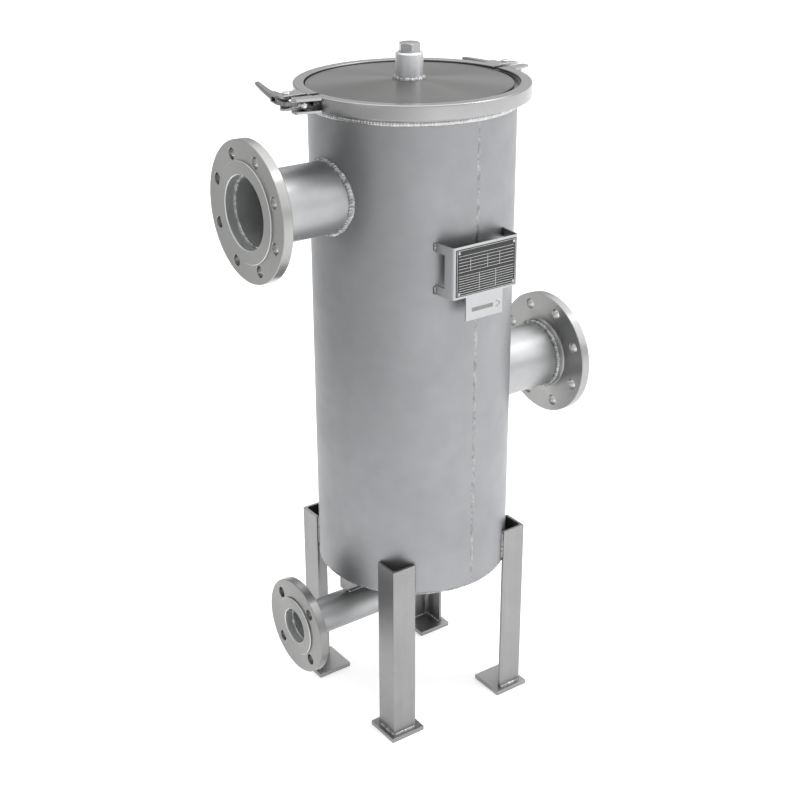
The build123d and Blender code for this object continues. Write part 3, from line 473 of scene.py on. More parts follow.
def grain_group():
    """Fine even grain of a blasted or pickled surface, as a height."""
    inputs = (("Vector", "Vector", None), ("Scale", "Float", 900.0))
    tree, given, leave = new_group("fine grain", inputs, (("Height", "Float"),))
    tree.links.new(noise(tree, given["Vector"], given["Scale"], 2.0), leave["Height"])


def streaks_group():
    """Draw marks: noise on coordinates that are squeezed along the piece, as a mask."""
    inputs = (("Vector", "Vector", None), ("Stretch", "Vector", (120.0, 120.0, 3.0)))
    tree, given, leave = new_group("draw marks", inputs, (("Mask", "Float"),))
    squeezed = vectors(tree, "MULTIPLY", given["Vector"], given["Stretch"])
    tree.links.new(ranged(tree, noise(tree, squeezed, 1.0, 5.0), (0.3, 0.7)), leave["Mask"])


def turning_group():
    """Turning marks round an axis.

    Vector is measured from the axis, Axis is its direction. Rings and Bands are fine and
    coarse noise of the distance from the axis plus the distance along it. Across is the
    surface's normal crossed with the groove's direction, the way a highlight is drawn out.
    """
    inputs = (("Vector", "Vector", None), ("Axis", "Vector", (0.0, 0.0, 1.0)), ("Pitch", "Float", 600.0))
    outputs = (("Rings", "Float"), ("Bands", "Float"), ("Across", "Vector"))
    tree, given, leave = new_group("turning marks", inputs, outputs)
    groove = vectors(tree, "CROSS_PRODUCT", given["Axis"], given["Vector"])
    depth = vectors(tree, "DOT_PRODUCT", given["Axis"], given["Vector"])
    line = maths(tree, "ADD", vectors(tree, "LENGTH", groove), depth)
    for label, detail, share in (("Rings", 3.0, 1.0), ("Bands", 2.0, 0.12)):
        inputs = {"W": line, "Scale": maths(tree, "MULTIPLY", given["Pitch"], share), "Detail": detail}
        marks = add_node(tree, "TexNoise", inputs, noise_dimensions="1D")
        tree.links.new(marks.outputs["Fac"], leave[label])
    normal = add_node(tree, "NewGeometry").outputs["Normal"]
    tree.links.new(vectors(tree, "CROSS_PRODUCT", normal, groove), leave["Across"])


def use_group(tree, name, inputs):
    """The outputs of a group that is already built."""
    return add_node(tree, "Group", inputs, node_tree=bpy.data.node_groups[name]).outputs


def start_material(name, metallic=0.0):
    """A new material: its tree, its shader's inputs and the object coordinates."""
    material = bpy.data.materials.new(name)
    material.use_nodes = True
    tree = material.node_tree
    tree.nodes.clear()
    shader = add_node(tree, "BsdfPrincipled", {"Metallic": metallic})
    add_node(tree, "OutputMaterial", {0: shader.outputs[0]})
    return tree, shader.inputs, add_node(tree, "TexCoord").outputs["Object"]


def shade(colour, amount):
    """The colour made lighter or darker by a factor, with its alpha."""
    return tuple(min(1.0, channel * amount) for channel in colour[:3]) + (1.0,)


def surface(tree, shader, tones, colour, spread, gloss, roughness, height, strength, depth):
    """Joins masks to the shader.

    The tones mask goes between a darker and a lighter tone of one colour, the gloss mask
    between two values of roughness, and the height makes a bump, in metres at full strength.
    """
    colour = mixed(tree, tones, shade(colour, 1 - spread), shade(colour, 1 + spread), "RGBA")
    bump = add_node(tree, "Bump", {"Height": height, "Strength": strength, "Distance": depth})
    roughness = ranged(tree, gloss, wanted=roughness)
    feed(tree, shader, {"Base Color": colour, "Roughness": roughness, "Normal": bump.outputs[0]})


def grained(name, colour, scale, contrast, spread, roughness, grain, depth, metallic=1.0, strength=0.5):
    """A blasted, pickled or plain finish: cloudy tones, even grain."""
    tree, shader, place = start_material(name, metallic)
    clouds = use_group(tree, "cloudy marks", {"Vector": place, "Scale": scale, "Contrast": contrast})[0]
    fine = use_group(tree, "fine grain", {"Vector": place, "Scale": grain})[0]
    surface(tree, shader, clouds, colour, spread, clouds, roughness, fine, strength, depth * MM)


def drawn(name, colour, stretch, spread, roughness, depth):
    """Rolled or drawn steel: streaks along the piece over faint clouds."""
    tree, shader, place = start_material(name, 1.0)
    lines = use_group(tree, "draw marks", {"Vector": place, "Stretch": stretch})[0]
    clouds = use_group(tree, "cloudy marks", {"Vector": place, "Scale": 14.0, "Contrast": 0.22})[0]
    both = mixed(tree, 0.5, lines, clouds)
    surface(tree, shader, both, colour, spread, lines, roughness, lines, 0.4, depth * MM)


def turned(name, colour, centre, axis, pitch, roughness, stretch):
    """Turned steel: fine rings round its axis, and highlights drawn out across them."""
    tree, shader, place = start_material(name, 1.0)
    from_axis = vectors(tree, "SUBTRACT", place, tuple(centre))
    marks = use_group(tree, "turning marks", {"Vector": from_axis, "Axis": tuple(axis), "Pitch": pitch})
    clouds = use_group(tree, "cloudy marks", {"Vector": place, "Scale": 18.0, "Contrast": 0.25})[0]
    both = mixed(tree, 0.35, marks["Bands"], clouds)
    surface(tree, shader, both, colour, 0.09, marks["Bands"], roughness, marks["Rings"], 0.5, 0.02 * MM)
    feed(tree, shader, {"Anisotropic": stretch, "Tangent": marks["Across"]})


def dress(node, name):
    """Gives a CAD node's object its material."""
    for slot in frame["nodes"][node].material_slots:
        slot.material = bpy.data.materials[name]


# Sizes and colours that a user would change


def measure(label, note, default, **limits):
    """A number with its unit or limits."""
    return FloatProperty(name=label, description=note, default=default, **limits)


def length(label, note, default):
    """A length, given in millimetres and kept in metres."""
    return measure(label, note, default * MM, unit="LENGTH", subtype="DISTANCE", precision=5)


def paint(label, note, default):
    """A colour."""
    return FloatVectorProperty(name=label, description=note, default=default, subtype="COLOR", min=0.0, max=1.0)


class StrainerWelds(PropertyGroup):
    nozzle_leg: length("Nozzle weld", "Leg of the fillet where a nozzle pipe enters the shell", 5.6)
    nozzle_pitch: length("Nozzle ripple spacing", "Distance between two ripples of a nozzle weld", 5.2)
    nozzle_depth: length("Nozzle ripple height", "How far a nozzle weld's ripples stand out", 1.4)
    pitch: length("Ripple spacing", "Distance between two ripples of the other welds", 2.6)
    depth: length("Ripple height", "How far the other welds' ripples stand out", 0.35)
    seam: length("Seam half width", "Half the width of the shell's long seam", 3.2)
    collar: length("Collar weld", "Half the width of the bead between shell and collar", 4.4)
    small: length("Small fillet", "Leg of the fillets at the legs, the feet and the gusset", 3.2)


class StrainerColours(PropertyGroup):
    blasted: paint("Blasted steel", "Shell and its fittings", (0.296, 0.301, 0.311))
    turned: paint("Turned steel", "Flanges, collar and lid", (0.35, 0.35, 0.345))
    pipe: paint("Pipe steel", "Nozzle pipes", (0.395, 0.40, 0.405))
    polished: paint("Polished steel", "Pins and nuts of the closures", (0.60, 0.60, 0.61))
    rolled: paint("Rolled steel", "Legs, feet, bottom and gusset", (0.29, 0.29, 0.29))
    cast: paint("Cast steel", "Levers and links", (0.25, 0.25, 0.246))
    sheet: paint("Sheet steel", "Bracket and basket", (0.43, 0.435, 0.445))
    weld: paint("Weld", "Weld beads", (0.31, 0.31, 0.31))
    plate: paint("Nameplate", "Black face of the nameplate", (0.012, 0.012, 0.014))
    print: paint("Plate lines", "Rules on the nameplate", (0.70, 0.72, 0.69))
    etch: paint("Etched arrow", "Flow arrow on the bracket", (0.24, 0.24, 0.235))
    rubber: paint("Rubber", "Seals", (0.012, 0.012, 0.012))
    clamp: paint("Clamp steel", "Clamp ring and the vent's plug", (0.36, 0.36, 0.365))
    closure: paint("Closure steel", "Ears, forks and cheeks", (0.39, 0.39, 0.395))
    socket: paint("Socket steel", "The vent's socket", (0.66, 0.67, 0.68))
    # Painted light: this bright colour lights up the shaded insides of the pipes and flange bores, and paints a
    # highlight on the raised faces' edges
    bore: paint("Pipe's inside", "Pickled inner walls of the nozzle pipes", (0.66, 0.67, 0.67))


class StrainerPlate(PropertyGroup):
    rows: IntProperty(name="Table rows", description="Rules of the plate's upper table", default=6, min=2)
    rule: length("Rule width", "Width of the table's lines", 0.5)
    border: length("Border", "Distance of the outer rule from the plate's edge", 1.6)
    relief: length("Relief", "How far the rules stand on the plate", 0.08)


class StrainerStudio(PropertyGroup):
    key: measure("Key lamp", "Power of the large lamp at the right", 15.0, unit="POWER")
    fill: measure("Fill lamp", "Power of the lamp at the left", 2.0, unit="POWER")
    top: measure("Top lamp", "Power of the lamp above", 12.0, unit="POWER")
    sky: measure("Surroundings", "Strength of the pale surroundings", 1.0, min=0.0)
    floor: paint("Floor", "Colour of the floor", (0.82, 0.82, 0.82))
    # Painted shade: the floor's grey far to the left darkens what the shell's left side mirrors
    grey: measure("Left floor", "How bright the floor stays far to the left", 0.45, min=0.0)


# The object's pieces


class STRAINER_OT_finishes(Operator):
    """Make the shader groups and materials, and dress the CAD nodes"""

    bl_idname = "strainer.finishes"
    bl_label = "Steel finishes"

    def execute(self, context):
        colours = context.scene.strainer_colours
        for builder in (clouds_group, grain_group, streaks_group, turning_group):
            builder()
        # Cloud scale and contrast, spread of tones, roughness from dark to pale clouds,
        # grain scale, grain height in mm
        for steel in (
            ("blasted steel", colours.blasted, 7.0, 0.22, 0.07, (0.52, 0.42), 1100.0, 0.03),
            ("pipe steel", colours.pipe, 16.0, 0.25, 0.07, (0.46, 0.36), 900.0, 0.02),
            ("sheet steel", colours.sheet, 24.0, 0.25, 0.05, (0.38, 0.30), 1400.0, 0.01),
            ("cast steel", colours.cast, 60.0, 0.22, 0.18, (0.42, 0.30), 700.0, 0.08),
            ("seam weld", shade(colours.weld, 0.9), 130.0, 0.18, 0.38, (0.42, 0.26), 500.0, 0.06),
            # The collar's weld is a lighter copy of the weld colour: a painted highlight for the light it catches
            ("bright weld", shade(colours.weld, 1.6), 160.0, 0.20, 0.30, (0.32, 0.20), 500.0, 0.06),
            ("weld steel", colours.weld, 130.0, 0.16, 0.55, (0.38, 0.20), 500.0, 0.06),
            # The bore colour is painted light, far brighter than the pipe steel
            ("bore steel", colours.bore, 20.0, 0.25, 0.10, (0.55, 0.42), 700.0, 0.05),
            ("clamp steel", colours.clamp, 12.0, 0.25, 0.05, (0.30, 0.22), 1200.0, 0.004),
            ("closure steel", colours.closure, 30.0, 0.25, 0.06, (0.34, 0.24), 900.0, 0.01),
            ("socket steel", colours.socket, 40.0, 0.25, 0.08, (0.44, 0.34), 900.0, 0.02),
            ("plug steel", colours.clamp, 40.0, 0.25, 0.08, (0.26, 0.18), 900.0, 0.01),
        ):
            grained(*steel)
        for name, colour, metallic, roughness, spread in (
            ("polished steel", colours.polished, 1.0, (0.10, 0.17), 0.04),
            ("plate black", colours.plate, 0.0, (0.42, 0.50), 0.15),
            ("plate lines", colours.print, 0.0, (0.40, 0.50), 0.08),
            ("etched mark", colours.etch, 0.6, (0.50, 0.60), 0.15),
            ("black rubber", colours.rubber, 0.0, (0.55, 0.65), 0.10),
        ):
            grained(name, colour, 60.0, 0.25, spread, roughness, 1500.0, 0.02, metallic, 0.3)
        drawn("rolled steel", colours.rolled, (160.0, 160.0, 4.0), 0.12, (0.32, 0.48), 0.03)
        # Tint, ring pitch, roughness, stretch of the highlights. The tints are painted light and shade: the lid and
        # the drain flange get darker copies of the turned steel, the collar and the nozzle flanges lighter ones.
        for node, tint, pitch, roughness, stretch in (
            ("lid", 0.46, 300.0, (0.26, 0.32), 0.9),
            ("collar", 1.05, 500.0, (0.25, 0.35), 0.75),
            ("inlet_flange", 1.05, 450.0, (0.26, 0.40), 0.75),
            ("outlet_flange", 1.05, 450.0, (0.26, 0.40), 0.75),
            ("drain_flange", 0.72, 450.0, (0.26, 0.40), 0.75),
        ):
            centre, axis = sum(span(node)) / 2, UP
            if node.endswith("_flange"):
                centre, axis = UP * NOZZLES[node[:-7]].height, ALONG
            # Painted light and shade: a lighter or darker copy of the turned colour for this piece
            tint = shade(colours.turned, tint)
            turned(f"turned {node}", tint, centre, axis, pitch, roughness, stretch)
            dress(node, f"turned {node}")
        for node, slot in SLOT_OF.items():
            if slot != "turned_steel":
                dress(node, "plate black" if slot == "black_plate" else slot.replace("_", " "))
        for node in ("front_ears", "front_cheeks", "rear_forks"):
            dress(node, "closure steel")
        dress("vent_socket", "socket steel")
        dress("vent_plug", "plug steel")
        return {"FINISHED"}


def places(items, key):
    """The places of a mesh's vertices or faces, one row each."""
    found = np.empty(len(items) * 3)
    items.foreach_get(key, found)
    return found.reshape(-1, 3)


def paint_inside(piece, nozzle, chosen):
    """Painted light: the bright bore colour on the faces chosen by depth behind the nozzle's face and distance from
    its axis.
    """
    centres = places(piece.data.polygons, "center")
    depth = abs(nozzle.face) - np.abs(centres[:, 0])
    distance = np.hypot(centres[:, 1], centres[:, 2] - nozzle.height)
    piece.data.materials.append(bpy.data.materials["bore steel"])
    piece.data.polygons.foreach_set("material_index", chosen(depth, distance).astype(np.int32))


class STRAINER_OT_nozzles(Operator):
    """Drilled flanges and the pipes that end inside them"""

    bl_idname = "strainer.nozzles"
    bl_label = "Flanges and pipes"

    def execute(self, context):
        for label, nozzle in NOZZLES.items():
            place = nozzle_place(nozzle)
            low, high = span(f"{label}_flange")
            grids = drilled_flange(place, (high[1] - low[1]) / 2, nozzle)
            flange = make_piece(f"{label}_flange_drilled", grids, f"turned {label}_flange", sharp=28.0)
            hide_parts(f"{label}_flange")
            # The bore, painted light though it lies in shade, and the edge of the raised face, a painted highlight
            paint_inside(flange, nozzle, lambda depth, distance: (
                (distance < nozzle.bore + 1.3 * MM) & (depth < nozzle.hub_end - 1 * MM)
                | (distance > nozzle.raised - 1 * MM) & (depth < 1 * MM)
            ))
            low, high = span(f"{label}_pipe")
            start, stop = nozzle.pipe_end, abs(nozzle.face) - min(abs(low[0]), abs(high[0]))
            radius, inner = nozzle.radius, nozzle.radius - nozzle.wall
            profile = np.array(((start, inner), (start, radius), (stop, radius), (stop, inner)))
            pipe = make_piece(f"{label}_pipe_drawn", [spun(profile, place)], "pipe steel")
            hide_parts(f"{label}_pipe")
            # The pipe's inside gets the bore colour: painted light in its shade
            paint_inside(pipe, nozzle, lambda depth, distance: distance < radius - 0.7 * nozzle.wall)
        return {"FINISHED"}


class STRAINER_OT_lid_and_clamp(Operator):
    """Turned lid with its groove, and the two halves of the clamp ring"""

    bl_idname = "strainer.lid_and_clamp"
    bl_label = "Lid and clamp ring"

    def execute(self, context):
        low, high = span("lid")
        seat = low[2]
        # The dome falls by 6.5 mm times the square of the radius over the disc's radius
        radius = np.linspace(10, 162.2, 48) * MM
        crown = seat + 9.5 * MM + 6.5 * MM * (1 - (radius / (163.5 * MM)) ** 2)
        dome = np.stack((crown, radius), -1)
        # Height above the seat and radius, from the disc's edge over the groove and rim to the underside
        rim = np.array((
            (9.4, 162.9), (9.0, 163.35), (8.4, 163.5), (4, 163.5), (4, 171.5), (7.6, 171.5),
            (8, 171.9), (8, 176.5), (7.5, 177), (0, 177), (0, 148), (3, 146), (9.5, 10),
        )) * MM + (seat, 0)
        place = upright_place((low + high) / 2)
        disc = spun(np.concatenate((dome, rim)), place, columns=240)
        lid = make_piece("lid_turned", [disc], "turned lid")
        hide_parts("lid")
        # Radius, height above the ring's foot and the length that rounds the corner
        section = eased((
            (187, 0, 1.5), (187, 22.6, 2.8), (169.5, 22.6, 1.4), (169.5, 18.6, 0.3),
            (183, 18.6, 1), (183, 4, 1), (170, 4, 0.5), (170, 0, 0.5),
        ))
        for name, way in (("front", -1), ("rear", 1)):
            low, high = span(f"clamp_{name}_half")
            gap = min(abs(low[1]), abs(high[1]))
            start = np.arcsin(gap / section[:, 0])[:, None]
            turn = start + np.linspace(0, 1, 141)[None, :] * (pi - 2 * start)
            flat = polar(section[:, :1], turn) * (1, way)
            grid = upright_place((0, 0))(low[2] + section[:, 1:], flat)
            grids, caps = [(grid, True, False)], (grid[:, 0], grid[:, -1])
            ring = make_piece(f"clamp_{name}_ring", grids, "clamp steel", caps=caps, sharp=28.0)
            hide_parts(f"clamp_{name}_half")
        return {"FINISHED"}


class STRAINER_OT_eased_parts(Operator):
    """CAD nodes whose sharp edges are eased by a fine bevel"""

    bl_idname = "strainer.eased_parts"
    bl_label = "Eased edges"

    def execute(self, context):
        widths = {"front_ears": 0.7, "front_cheeks": 0.6, "rear_forks": 0.7, "drain_gusset": 0.5}
        widths |= {"nameplate_bracket": 0.4, "vent_plug": 0.6, "vent_socket": 0.5}
        widths |= {f"{part}_{corner}": 0.8 for part in ("leg", "foot") for corner in CORNERS}
        for node, width in widths.items():
            eased_copy(node, width * MM)
        handle, bow, droop = 68 * MM, 10 * MM, 12 * MM
        for node, rise, inward in (("lever_left", 9.5 * MM, 1), ("lever_right", 2.0 * MM, -1)):
            lever = eased_copy(node, 0.3 * MM)
            points = places(lever.data.vertices, "co")
            share = np.clip((points[:, 1] - span(node)[1][1]) / handle + 1, 0, 1)
            # The handle rises with the power 0.7 of its share, droops with the power 1.5 and bows inwards
            points[:, 2] += rise * share ** 0.7 - droop * share ** 1.5
            points[:, 0] += bow * inward * (share - share ** 2)
            lever.data.vertices.foreach_set("co", points.ravel())
        return {"FINISHED"}


class STRAINER_OT_shell_welds(Operator):
    """Weld beads of the shell: long seam, collar and bottom"""

    bl_idname = "strainer.shell_welds"
    bl_label = "Shell welds"

    def execute(self, context):
        welds = context.scene.strainer_welds
        ripple = (welds.pitch, welds.depth)
        seam_x = 3.8 * MM
        facing = np.array((seam_x, -sqrt(SHELL_R ** 2 - seam_x ** 2), 0.0))
        normal = unit(facing)
        low = facing + UP * (SHELL_FOOT + 2 * MM)
        high = facing + UP * (SHELL_TOP - 3 * MM)
        seam = line_bead(low, high, np.cross(UP, normal), normal, flat_section(0.16), welds.seam, ripple, 11)
        make_piece("seam_bead", [seam], "seam weld")
        centre, upright = UP * (SHELL_TOP + 0.5 * MM), ((0, 1), (1, 0))
        coarse = (5 * MM, 0.9 * MM)
        collar = ring_bead(centre, UP, SHELL_R, *upright, flat_section(0.55), welds.collar, coarse, 12)
        # The collar's bead has the lighter weld copy, a painted highlight
        make_piece("collar_bead", [collar], "bright weld")
        centre, radius = UP * (SHELL_FOOT + 1.2 * MM), SHELL_R - 0.6 * MM
        bottom = ring_bead(centre, UP, radius, *upright, flat_section(0.5), 2.4 * MM, ripple, 13)
        make_piece("bottom_bead", [bottom], "weld steel")
        return {"FINISHED"}


class STRAINER_OT_nozzle_welds(Operator):
    """Weld beads of the inlet, the outlet and the drain"""

    bl_idname = "strainer.nozzle_welds"
    bl_label = "Nozzle welds"

    def execute(self, context):
        welds = context.scene.strainer_welds
        ripple = (welds.pitch, welds.depth)
        wide = (welds.nozzle_leg, (welds.nozzle_pitch, welds.nozzle_depth))
        for number, label in enumerate(("inlet", "outlet")):
            saddle = saddle_bead(NOZZLES[label], *wide, 21 + number)
            make_piece(f"{label}_shell_bead", [saddle], "weld steel")
        for number, (label, nozzle) in enumerate(NOZZLES.items()):
            side, height, radius, face = nozzle[:4]
            ends = (nozzle.hub_end, nozzle.pipe_end)
            back, inside = (np.array((face - side * depth, 0.0, height)) for depth in ends)
            leg, pitch = nozzle.leg, 4.5 * MM
            ways = (0, -side), (1, 0)
            outer = ring_bead(back, ALONG, radius, *ways, FILLET, 1.4 * leg, (pitch, 0.9 * MM), 31 + number)
            radius, ways = radius + 0.1 * MM, ((-1, 0), (0, side))
            root = ring_bead(inside, ALONG, radius, *ways, FILLET, 0.85 * leg, (pitch, 1.1 * MM), 41 + number)
            make_piece(f"{label}_flange_bead", [outer, root], "weld steel")
        height, radius = NOZZLES["drain"][1:3]
        elbow = np.array((span("drain_pipe")[1][0], 0.0, height))
        bend = ring_bead(elbow, ALONG, radius, (0, 1), (1, 0), flat_section(0.35), 3.2 * MM, ripple, 51)
        top = ring_bead(UP * SHELL_FOOT, UP, radius, (1, 0), (0, -1), FILLET, 4.5 * MM, ripple, 52)
        make_piece("elbow_beads", [bend, top], "weld steel")
        low, high = span("drain_gusset")
        beads = []
        for number, (side, y) in enumerate(((-1, low[1]), (1, high[1]))):
            for x, z, out, seed in ((low[0], high[2], -UP, 61), (low[0] + 12 * MM, low[2], UP, 63)):
                run = ((x, y, z), (high[0], y, z), (0, side, 0), out)
                beads.append(line_bead(*run, FILLET, welds.small, ripple, seed + number))
        make_piece("gusset_beads", beads, "weld steel")
        return {"FINISHED"}


class STRAINER_OT_top_welds(Operator):
    """Weld bead of the vent's socket on the lid"""

    bl_idname = "strainer.top_welds"
    bl_label = "Socket weld"

    def execute(self, context):
        ripple = (3.2 * MM, context.scene.strainer_welds.depth)
        low, high = span("vent_socket")
        base = (low + high) / 2
        base[2] = low[2] - 0.1 * MM
        radius = (high[0] - low[0]) / 2
        socket = ring_bead(base, UP, radius, (1, 0), (0, 1), FILLET, 4.6 * MM, ripple, 71)
        make_piece("socket_bead", [socket], "weld steel")
        return {"FINISHED"}


class STRAINER_OT_leg_welds(Operator):
    """Weld beads between legs and shell, and between legs and feet"""

    bl_idname = "strainer.leg_welds"
    bl_label = "Leg welds"

    def execute(self, context):
        welds = context.scene.strainer_welds
        bead = (FILLET, welds.small, (welds.pitch, welds.depth))
        thick = 5 * MM
        for number, corner in enumerate(CORNERS):
            low, high = span(f"leg_{corner}")
            signs = (-1 if corner.endswith("left") else 1, -1 if corner.startswith("front") else 1, 0)
            near, far = sorted((abs(low[0]), abs(high[0])))
            inner = far - thick
            foot, start, stop = (UP * z for z in (low[2], SHELL_FOOT + 3 * MM, high[2] - 1 * MM))
            beads = []
            for tip, along, out in (((near, inner), (-1, 0), (0, 1)), ((inner, near), (0, -1), (1, 0))):
                tip, along, out = (np.array((*pair, 0)) * signs for pair in (tip, along, out))
                run = (tip + start, tip + stop, along * 0.9 + out * 0.25, out)
                beads.append(line_bead(*run, *bead, 81 + number))
            for first, last, across in (
                ((near, far), (far, far), (0, 1)),
                ((far, near), (far, far), (1, 0)),
                ((near, inner), (inner, inner), (0, -1)),
                ((inner, near), (inner, inner), (-1, 0)),
            ):
                first, last, across = (np.array((*pair, 0)) * signs for pair in (first, last, across))
                beads.append(line_bead(first + foot, last + foot, across, UP, *bead, 91 + number))
            make_piece(f"leg_beads_{corner}", beads, "weld steel")
        return {"FINISHED"}


class STRAINER_OT_nameplate(Operator):
    """The nameplate's ruled table and border, the flow arrow on the bracket's tab, and the bracket's tacks"""

    bl_idname = "strainer.nameplate"
    bl_label = "Nameplate and arrow"

    def execute(self, context):
        plate = context.scene.strainer_plate
        low, high = span("nameplate")
        left, right = low[0] + plate.border, high[0] - plate.border
        foot, top = low[2] + plate.border, high[2] - plate.border
        half, inset = plate.rule / 2, 3 * MM
        upper = np.linspace(top - 9 * MM, top - 34.5 * MM, plate.rows)
        lower = np.linspace(foot + 31 * MM, foot + 3.5 * MM, plate.rows + 2)
        level = [(left, right, z) for z in (foot, top)]
        level += [(left + inset, right - inset, z) for z in (*upper, *lower)]
        upright = [(x, foot, top) for x in (left, right)]
        upright += [(x * MM, upper[-1], upper[1]) for x in (-31, 2, 25.5)]
        upright += [(x * MM, lower[-1], lower[0]) for x in (-13.6, 18.4)]
        rules = [oblong(start, stop, z - half, z + half) for start, stop, z in level]
        rules += [oblong(x - half, x + half, start, stop) for x, start, stop in upright]
        strips = [bar(rule, low[1], plate.relief) for rule in rules]
        make_piece("nameplate_rules", strips, "plate lines")

        low, high = span("nameplate_bracket")
        tip, width = np.array((28.7, 787.4)) * MM, np.array((1.3, 0.0)) * MM
        marks = [oblong(-26.8 * MM, 15.2 * MM, 783.6 * MM, 790.2 * MM)]
        for sign in (-1, 1):
            back = tip + np.array((-7.5, sign * 5.6)) * MM
            marks.append(np.array((tip - width, tip + width, back + width, back - width)))
        make_piece("flow_arrow", [bar(mark, low[1], 0.06 * MM) for mark in marks], "etched mark")

        welds = context.scene.strainer_welds
        ripple = (welds.pitch, welds.depth)
        tacks = []
        for side in (-1, 1):
            x = side * (high[0] - 0.6 * MM)
            y = -sqrt(SHELL_R ** 2 - x ** 2)
            for below in (0, 70 * MM):
                top = high[2] - below
                run = ((x, y, top - 13 * MM), (x, y, top), (side, 0.2, 0), (0.35 * side, -1, 0))
                tacks.append(line_bead(*run, FILLET, 3.4 * MM, ripple, 75))
        make_piece("bracket_tacks", tacks, "weld steel")
        return {"FINISHED"}


class STRAINER_OT_stage(Operator):
    """Floor, surroundings, lamps and camera"""

    bl_idname = "strainer.stage"
    bl_label = "Studio"

    def execute(self, context):
        scene = context.scene
        studio = scene.strainer_studio
        scene.view_settings.view_transform = "Standard"
        set_floor(studio)
        set_world(scene, studio)
        middle = Vector((0.0, 0.0, 0.65))
        for name, place, size, watts in (
            ("key_lamp", (2.1, -2.0, 2.3), 2.0, studio.key),
            ("fill_lamp", (-2.6, -0.6, 1.5), 1.4, studio.fill),
            ("top_lamp", (1.5, -1.0, 3.3), 0.6, studio.top),
        ):
            lamp = bpy.data.lights.new(name, "AREA")
            lamp.shape, lamp.size, lamp.energy = "SQUARE", size, watts
            holder = put(name, lamp)
            holder.location = place
            holder.rotation_euler = (middle - Vector(place)).to_track_quat("-Z", "Y").to_euler()
        set_camera(scene)
        return {"FINISHED"}


def set_floor(studio):
    """A wide floor, white round the object and greyer from 0.95 m on at the left, with its shadow. The grey is
    painted shade: it darkens what the object's left side mirrors.

    The grey share is a smooth step of the distance from the axis, times how far the
    direction from the axis points to the left. A glow that camera, mirror and glass rays
    see makes the floor white.
    """
    half = 30.0
    corners = np.column_stack((oblong(-half, half, -half, half), np.zeros(4)))
    mesh = bpy.data.meshes.new("floor")
    mesh.from_pydata(corners, [], [(0, 1, 2, 3)])
    floor = put("floor", mesh)
    tree, shader, place = start_material("floor")
    mesh.materials.append(bpy.data.materials["floor"])
    far = ranged(tree, vectors(tree, "LENGTH", place), (0.95, 1.6), curve="SMOOTHSTEP")
    left = vectors(tree, "DOT_PRODUCT", vectors(tree, "NORMALIZE", place), (-0.97, 0.26, 0.0))
    # Painted shade: the grey share at the far left, mirrored by the shell's left side
    grey = maths(tree, "MULTIPLY", far, ranged(tree, left, (0.0, 0.9)))
    colour = mixed(tree, grey, shade(studio.floor, 1.0), shade(studio.floor, studio.grey), "RGBA")
    feed(tree, shader, {"Base Color": colour, "Roughness": 0.9, "Specular IOR Level": 0.0, "Emission Color": WHITE})
    path = add_node(tree, "LightPath").outputs
    some = maths(tree, "MAXIMUM", path["Is Camera Ray"], path["Is Glossy Ray"])
    seen = maths(tree, "MAXIMUM", some, path["Is Transmission Ray"])
    glow = 0.38
    level = ranged(tree, grey, wanted=(glow, glow * studio.grey))
    tree.links.new(maths(tree, "MULTIPLY", seen, level), shader["Emission Strength"])


def set_world(scene, studio):
    """Pale surroundings for every ray: white at the front right, greyer at the left rear, brightest overhead."""
    world = bpy.data.worlds.new("studio")
    scene.world = world
    world.use_nodes = True
    tree = world.node_tree
    tree.nodes.clear()
    way = add_node(tree, "TexCoord").outputs["Generated"]
    side = ranged(tree, vectors(tree, "DOT_PRODUCT", way, (0.55, -0.83, 0.1)), (-1.0, 1.0), (0.5, 1.1))
    upward = vectors(tree, "DOT_PRODUCT", way, (0.15, 0.1, 0.98))
    overhead = ranged(tree, upward, (0.5, 0.95), (0.0, 1.3), "SMOOTHSTEP")
    strength = maths(tree, "MULTIPLY", maths(tree, "ADD", side, overhead), studio.sky)
    sky = add_node(tree, "Background", {"Color": WHITE, "Strength": strength})
    add_node(tree, "OutputWorld", {0: sky.outputs[0]})


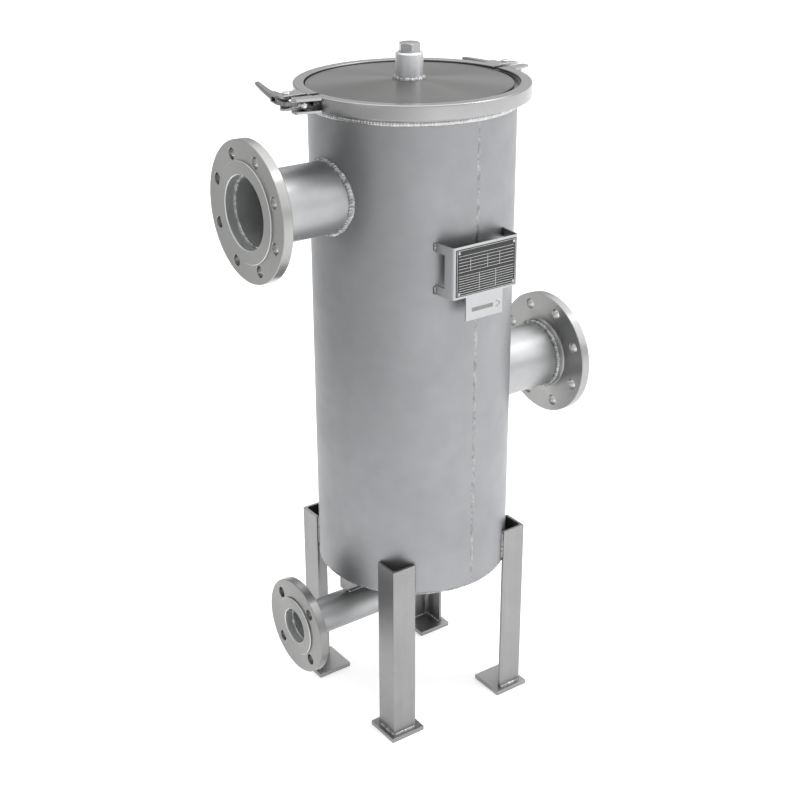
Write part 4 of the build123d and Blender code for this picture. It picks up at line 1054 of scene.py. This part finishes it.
def set_camera(scene):
    """Camera at the photograph's place: turned right by yaw, down by pitch, and rolled."""
    yaw, pitch, roll = 0.608, 0.395, -0.008
    place = (-1.275025, -1.751792, 1.544219)
    forward = np.array((sin(yaw) * cos(pitch), cos(yaw) * cos(pitch), -sin(pitch)))
    level = np.array((cos(yaw), -sin(yaw), 0.0))
    above = np.cross(level, forward)
    right = cos(roll) * level + sin(roll) * above
    above = cos(roll) * above - sin(roll) * level
    view = bpy.data.cameras.new("camera")
    view.sensor_width, view.lens = 36.0, 62.533
    view.shift_x, view.shift_y = 0.01875, -0.05625
    holder = put("camera", view)
    turn = np.identity(4)
    turn[:3] = np.column_stack((right, above, -forward, place))
    holder.matrix_world = Matrix(turn.tolist())
    scene.camera = holder


OPERATORS = (
    STRAINER_OT_finishes, STRAINER_OT_nozzles, STRAINER_OT_lid_and_clamp, STRAINER_OT_eased_parts,
    STRAINER_OT_shell_welds, STRAINER_OT_nozzle_welds, STRAINER_OT_top_welds, STRAINER_OT_leg_welds,
    STRAINER_OT_nameplate, STRAINER_OT_stage,
)
GROUPS = {
    "strainer_welds": StrainerWelds, "strainer_colours": StrainerColours,
    "strainer_plate": StrainerPlate, "strainer_studio": StrainerStudio,
}


class STRAINER_PT_panel(Panel):
    """Lists the sizes, the colours and the operators"""

    bl_label = "Simplex strainer"
    bl_idname = "STRAINER_PT_panel"
    bl_space_type = "VIEW_3D"
    bl_region_type = "UI"
    bl_category = "Strainer"

    def draw(self, context):
        for name, group in GROUPS.items():
            box = self.layout.box()
            for key in group.__annotations__:
                box.prop(getattr(context.scene, name), key)
        for operator in OPERATORS:
            self.layout.operator(operator.bl_idname)


CLASSES = (*GROUPS.values(), *OPERATORS, STRAINER_PT_panel)


def register():
    for kind in CLASSES:
        bpy.utils.register_class(kind)
    for name, group in GROUPS.items():
        setattr(bpy.types.Scene, name, PointerProperty(type=group))


def unregister():
    for name in GROUPS:
        delattr(bpy.types.Scene, name)
    for kind in reversed(CLASSES):
        bpy.utils.unregister_class(kind)


def main():
    register()
    bpy.ops.strainer.finishes()
    bpy.ops.strainer.nozzles()
    bpy.ops.strainer.lid_and_clamp()
    bpy.ops.strainer.eased_parts()
    bpy.ops.strainer.shell_welds()
    bpy.ops.strainer.nozzle_welds()
    bpy.ops.strainer.top_welds()
    bpy.ops.strainer.leg_welds()
    bpy.ops.strainer.nameplate()
    bpy.ops.strainer.stage()


if __name__ == "__main__":
    main()
